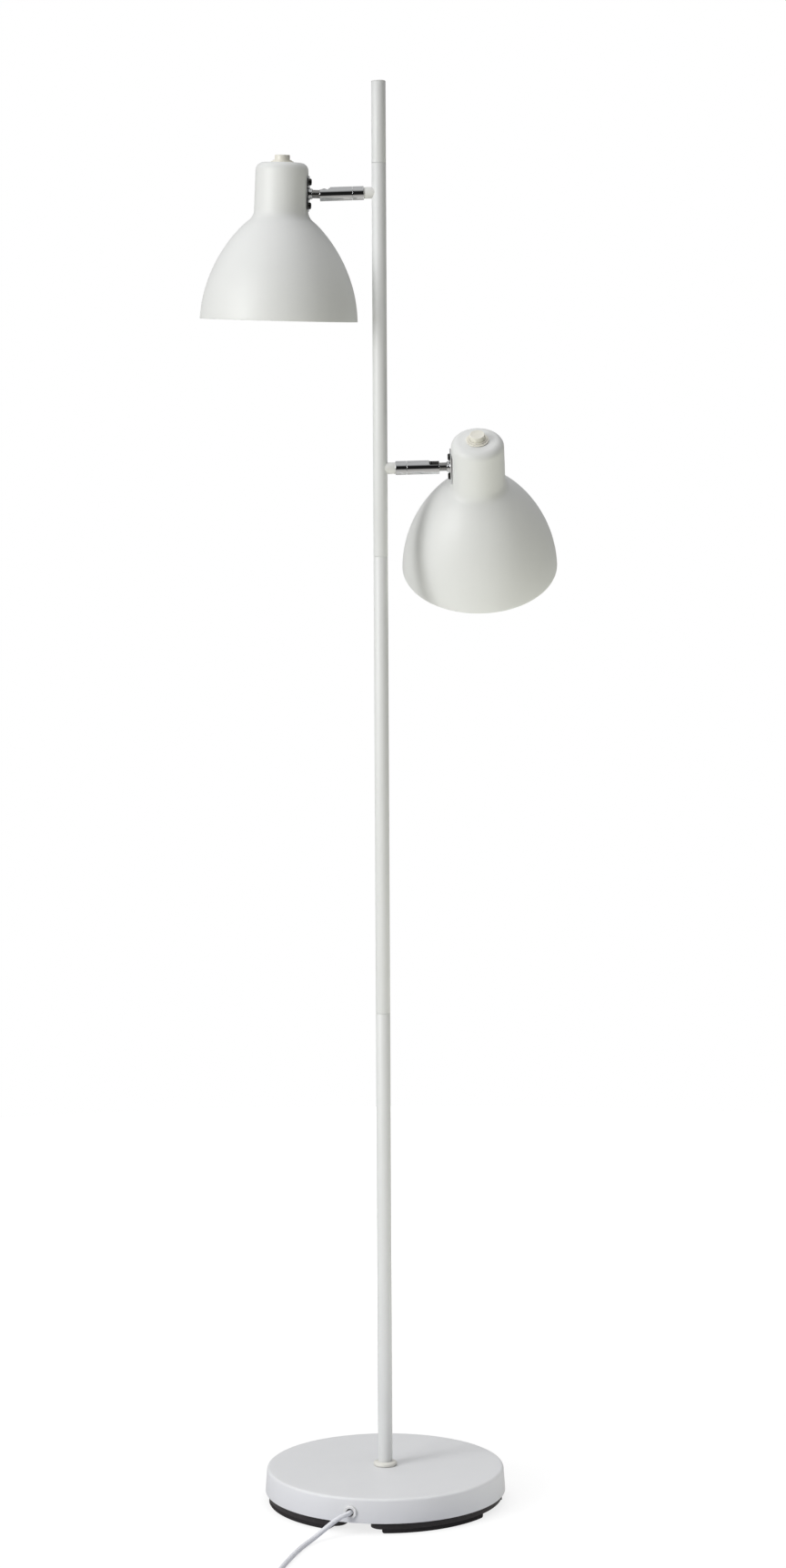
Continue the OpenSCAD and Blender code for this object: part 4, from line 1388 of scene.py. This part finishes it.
@dataclass
class Head:
    """A shade with its fastening, switch and lampholder, drawn in the head's frame: the
    shade's axis stands up at shade_x from the ball, and heights in millimetres start at
    the arm's axis."""

    arm: Arm
    wall: float = 1.0
    fit_gap: float = 0.05
    neck_top: float = 32.0
    neck_top_radius: float = 27.7
    neck_foot_radius: float = 28.4
    neck_round: float = 8.5
    neck_round_steps: int = 14
    neck_steps: int = 12
    shoulder_at: float = 17.6
    shoulder_round: float = 14.0
    shoulder_steps: int = 12
    dome_slope: float = 37.5
    dome_steps: int = 44
    rim_radius: float = 82.7
    rim_at: float = 132.3
    rim_flare: float = 2.0
    rim_pull: float = 56.0
    rim_round: float = 0.3
    shoulder_pull: float = 15.0
    flat_at: float = 17.0
    flat_depth: float = 0.4
    flat_radius: float = 19.5
    pad: float = 2.0
    skin_split: float = 0.8
    stem_hole: float = 4.7
    screw_hole: float = 2.05
    screw_span: float = 24.7
    drill_reach: float = 40.0
    plate_half: float = 9.0
    plate_round: float = 0.1
    plate_cut: float = 50.0
    bush_radius: float = 10.0
    bush_top: float = 34.6
    bush_seat: float = 3.0
    bush_chamfer: float = 0.4
    bush_thread: float = 0.25
    bush_pitch: float = 1.0
    switch_radius: float = 12.0
    switch_bottom: float = 14.0
    switch_chamfer: float = 0.6
    well_radius: float = 8.3
    well_bottom: float = 18.5
    well_chamfer: float = 0.3
    ring_radius: float = 11.9
    ring_height: float = 1.5
    ring_round: float = 0.35
    button_radius: float = 8.0
    button_top: float = 40.0
    button_bottom: float = 22.0
    button_round: float = 0.8
    button_foot: float = 0.4
    dish_rim: float = 1.4
    dish: float = 0.4
    dish_step: int = 10
    holder_radius: float = 19.0
    holder_mouth: float = -34.0
    holder_top: float = 7.8
    holder_cap: float = 12.0
    holder_round: float = 0.5
    cap_radius: float = 14.0
    boss_radius: float = 5.0
    boss_top: float = 12.0
    lead_bore: float = 2.8
    shell_radius: float = 13.5
    shell_sheet: float = 0.5
    shell_mouth: float = -33.0
    shell_length: float = 22.0
    shell_clear: float = 3.0
    shell_steps: int = 66
    shell_pitch: float = 3.6
    shell_ridge: float = 0.7
    shell_fade: float = 2.0
    contact_radius: float = 4.5
    contact_hole: float = 1.5
    contact_top: float = -8.0
    contact_rim: float = 1.4
    contact_skirt: Point = (0.5, 2.0)
    contact_sheet: float = 1.0
    nut_round: float = 0.2
    screw_round: float = 0.08
    bracket_round: float = 0.25

    @property
    def shade_x(self) -> float:
        """Distance of the shade's axis from the ball.

        Returns:
            The distance that puts the neck's flat where the plate ends, in millimetres.
        """
        lean = (self.neck_foot_radius - self.neck_top_radius) * self.shoulder_at
        at_arm = self.neck_foot_radius - lean / (
            self.shoulder_at + self.neck_top - self.neck_round)
        return self.flat_at - self.flat_depth + at_arm

    def shade_frame(self) -> Matrix:
        """The frame on the shade's axis, level with the arm, in metres."""
        return self.arm.head_frame() @ Matrix.Translation((self.shade_x * MM, 0, 0))

    def build(self) -> None:
        """Builds the head."""
        name = self.arm.node
        self.shade()
        self.button()
        self.ring_nut()
        self.switch()
        self.lampholder()
        self.contacts()
        fit_copy(name("stud_nuts"), name("nuts"), Finishes.CHROME, self.nut_round, above=35)
        self.plate()
        fit_copy(name("plate_screws"), name("screws"), Finishes.DARK_STEEL, self.screw_round,
                 segments=1, above=50)
        fit_copy(name("holder_bracket"), name("bracket"), Finishes.ZINC, self.bracket_round,
                 above=50)

    def mount(self, bm: Mesh, name: str, node: str, finish: Finishes,
              crease: float = 32) -> None:
        """Fits a piece drawn on the shade's axis, for one of this head's CAD nodes."""
        fit(bm, self.arm.node(name), self.shade_frame(), finish, [self.arm.node(node)], crease)

    def plate(self) -> None:
        """The plate between stem and shade, flat at its sides where the neck falls away."""
        place = self.arm.head_frame()
        place.translation /= MM
        bm = moved(node_copy(self.arm.node("mount_plate")), place.inverted())
        far = self.plate_cut
        sides = [block((-far, low, -far), (far, high, far))
                 for low, high in ((-far, -self.plate_half), (self.plate_half, far))]
        bm = round_edges(cut(bm, *sides), self.plate_round, above=35)
        fit(bm, self.arm.node("plate"), self.arm.head_frame(), Finishes.CHROME,
            [self.arm.node("mount_plate")])

    def outline(self) -> list[Point]:
        """The shade's outside.

        Returns:
            Its profile, from the middle of its top down to its rim.
        """
        slope = math.radians(self.dome_slope)
        flare = math.radians(self.rim_flare)
        start = (self.neck_foot_radius + self.shoulder_round * (1 - math.sin(slope)),
                 -self.shoulder_at - self.shoulder_round * math.cos(slope))
        end = (self.rim_radius, -self.rim_at)
        pulls = ((start[0] + self.shoulder_pull * math.cos(slope),
                  start[1] - self.shoulder_pull * math.sin(slope)),
                 (end[0] - self.rim_pull * math.sin(flare),
                  end[1] + self.rim_pull * math.cos(flare)))
        corner = (self.neck_top_radius - self.neck_round, self.neck_top - self.neck_round)
        top = arc(corner, self.neck_round, 90, 0, self.neck_round_steps)
        hollow = arc((self.neck_foot_radius + self.shoulder_round, -self.shoulder_at),
                     self.shoulder_round, 180, 270 - self.dome_slope, self.shoulder_steps)
        neck = [tuple(high + (low - high) * i / self.neck_steps
                      for high, low in zip(top[-1], hollow[0]))
                for i in range(1, self.neck_steps)]
        seat = [(0, self.neck_top), (self.bush_radius + self.bush_seat, self.neck_top)]
        dome = pulled_curve((start, end), pulls, self.dome_steps)
        return seat + top + neck + hollow + dome

    def shade(self) -> None:
        """The pressed shade: one sheet, with the flat where the plate sits."""
        outside = self.outline()
        inside = inner_line(outside, self.wall)
        inside[0] = (0, self.neck_top - self.wall)
        bm = lathe(outside + inside[::-1], segments=224)
        hem = [e for e in sharp_edges(bm, above=50)
               if all(v.co.z < self.wall - self.rim_at for v in e.verts)]
        bevel(bm, hem, self.rim_round)
        between = self.neck_foot_radius - self.skin_split * self.wall
        for v in bm.verts:
            if v.co.x > 0 or v.co.yz.length > self.flat_radius:
                continue
            pad = 0 if v.co.xy.length > between else self.pad
            v.co.x = max(v.co.x, self.flat_at + pad - self.shade_x)
        drills = [rod(self.stem_hole, -self.drill_reach, 0, segments=48)]
        for height in (-self.screw_span / 2, self.screw_span / 2):
            drill = rod(self.screw_hole, -self.drill_reach, 0, segments=24)
            drills.append(moved(drill, Matrix.Translation((0, 0, height))))
        punch = bmesh.new()
        radius = self.bush_radius + self.fit_gap
        bmesh.ops.create_cone(punch, cap_ends=True, segments=64, radius1=radius,
                              radius2=radius, depth=2 * self.bush_radius,
                              matrix=Matrix.Translation((0, 0, self.neck_top)))
        self.mount(cut(bm, *drills, punch), "bell_shade", "shade", Finishes.SHADE_PAINT,
                   crease=40)

    def button(self) -> None:
        """Push button with a soft edge and a shallow dish."""
        radius, top, low = self.button_radius, self.button_top, self.button_bottom
        slopes = [math.radians(a) for a in range(0, 90, self.dish_step)]
        dish = [((radius - self.dish_rim) * math.cos(a), top - self.dish * math.sin(a))
                for a in slopes]
        dish.append((0, top - self.dish))
        edge = arc((radius - self.button_round, top - self.button_round), self.button_round,
                   0, 90, steps=6)
        foot = [(0, low), (radius - self.button_foot, low), (radius, low + self.button_foot)]
        self.mount(lathe(foot + edge + dish, segments=72), "push_button", "button",
                   Finishes.CREAM)

    def ring_nut(self) -> None:
        """The ring nut that holds the switch to the shade."""
        low, high = self.neck_top, self.neck_top + self.ring_height
        inner = self.bush_radius + self.fit_gap
        profile = [(inner, low), (self.ring_radius, low), (self.ring_radius, high),
                   (inner, high)]
        bm = round_edges(lathe(profile, ring=True), self.ring_round, segments=3, above=60)
        self.mount(bm, "switch_ring", "ring_nut", Finishes.CREAM)

    def switch(self) -> None:
        """The switch's body and its threaded bush."""
        below, top = self.neck_top - self.wall, self.bush_top
        body = [(0, self.switch_bottom),
                (self.switch_radius - self.switch_chamfer, self.switch_bottom),
                (self.switch_radius, self.switch_bottom + self.switch_chamfer),
                (self.switch_radius, below)]
        bush = thread_line(self.bush_radius, self.bush_thread, below, top - self.bush_chamfer,
                           self.bush_pitch)
        well = [(self.bush_radius - self.bush_chamfer, top),
                (self.well_radius + self.well_chamfer, top),
                (self.well_radius, top - self.well_chamfer),
                (self.well_radius, self.well_bottom), (0, self.well_bottom)]
        self.mount(lathe(body + bush + well, segments=72), "push_switch", "switch_body",
                   Finishes.CREAM)

    def lampholder(self) -> None:
        """The plastic lampholder with the boss that screws into the bracket."""
        skirt = self.holder_top - self.holder_cap
        floor = self.shell_mouth + self.shell_length + self.shell_clear
        bore = self.shell_radius + self.shell_sheet + self.fit_gap
        outside = [(bore, self.holder_mouth), (self.holder_radius, self.holder_mouth),
                   (self.holder_radius, skirt), (self.cap_radius, self.holder_top),
                   (self.boss_radius, self.holder_top), (self.boss_radius, self.boss_top)]
        inside = [(self.lead_bore, self.boss_top), (self.lead_bore, floor), (bore, floor)]
        bm = lathe(outside + inside, ring=True)
        round_edges(bm, self.holder_round, segments=3, above=35)
        self.mount(bm, "holder", "lampholder", Finishes.PORCELAIN)

    def contacts(self) -> None:
        """The threaded screw shell and the middle contact."""
        low, high = self.shell_mouth, self.shell_mouth + self.shell_length
        heights = [low + (high - low) * i / self.shell_steps
                   for i in range(self.shell_steps + 1)]
        outside = [(self.shell_radius + self.shell_sheet, z) for z in heights]
        inside = [(self.shell_radius, z) for z in reversed(heights)]
        bm = lathe(outside + inside, ring=True)
        for v in bm.verts:
            turn = math.atan2(v.co.y, v.co.x)
            wave = 0.5 - 0.5 * math.cos(math.tau * v.co.z / self.shell_pitch - turn)
            fade = max(0.0, min(1.0, (v.co.z - low) / self.shell_fade,
                                (high - v.co.z) / self.shell_fade))
            radius = v.co.xy.length
            v.co.xy *= (radius - self.shell_ridge * wave * fade) / radius
        top = self.contact_top
        skirt_in, skirt = self.contact_skirt
        contact = [(self.contact_hole, top - self.contact_sheet),
                   (self.contact_radius - skirt_in, top - skirt),
                   (self.contact_radius, top - self.contact_rim), (self.contact_radius, top),
                   (self.contact_hole, top)]
        bm = joined(bm, lathe(contact, segments=48, ring=True))
        self.mount(bm, "screw_shell", "socket_contacts", Finishes.BRASS, crease=50)


# ---- Assembly --------------------------------------------------------------------------

def main() -> None:
    """Builds the studio and the lamp."""
    logging.basicConfig(level=logging.INFO, format="%(message)s")
    Studio().build()
    Flex().build()
    Base().build()
    arms = [Arm(side) for side in Side]
    Pole().build(arms)
    for arm in arms:
        arm.build()
        Head(arm).build()


if __name__ == "__main__":
    main()
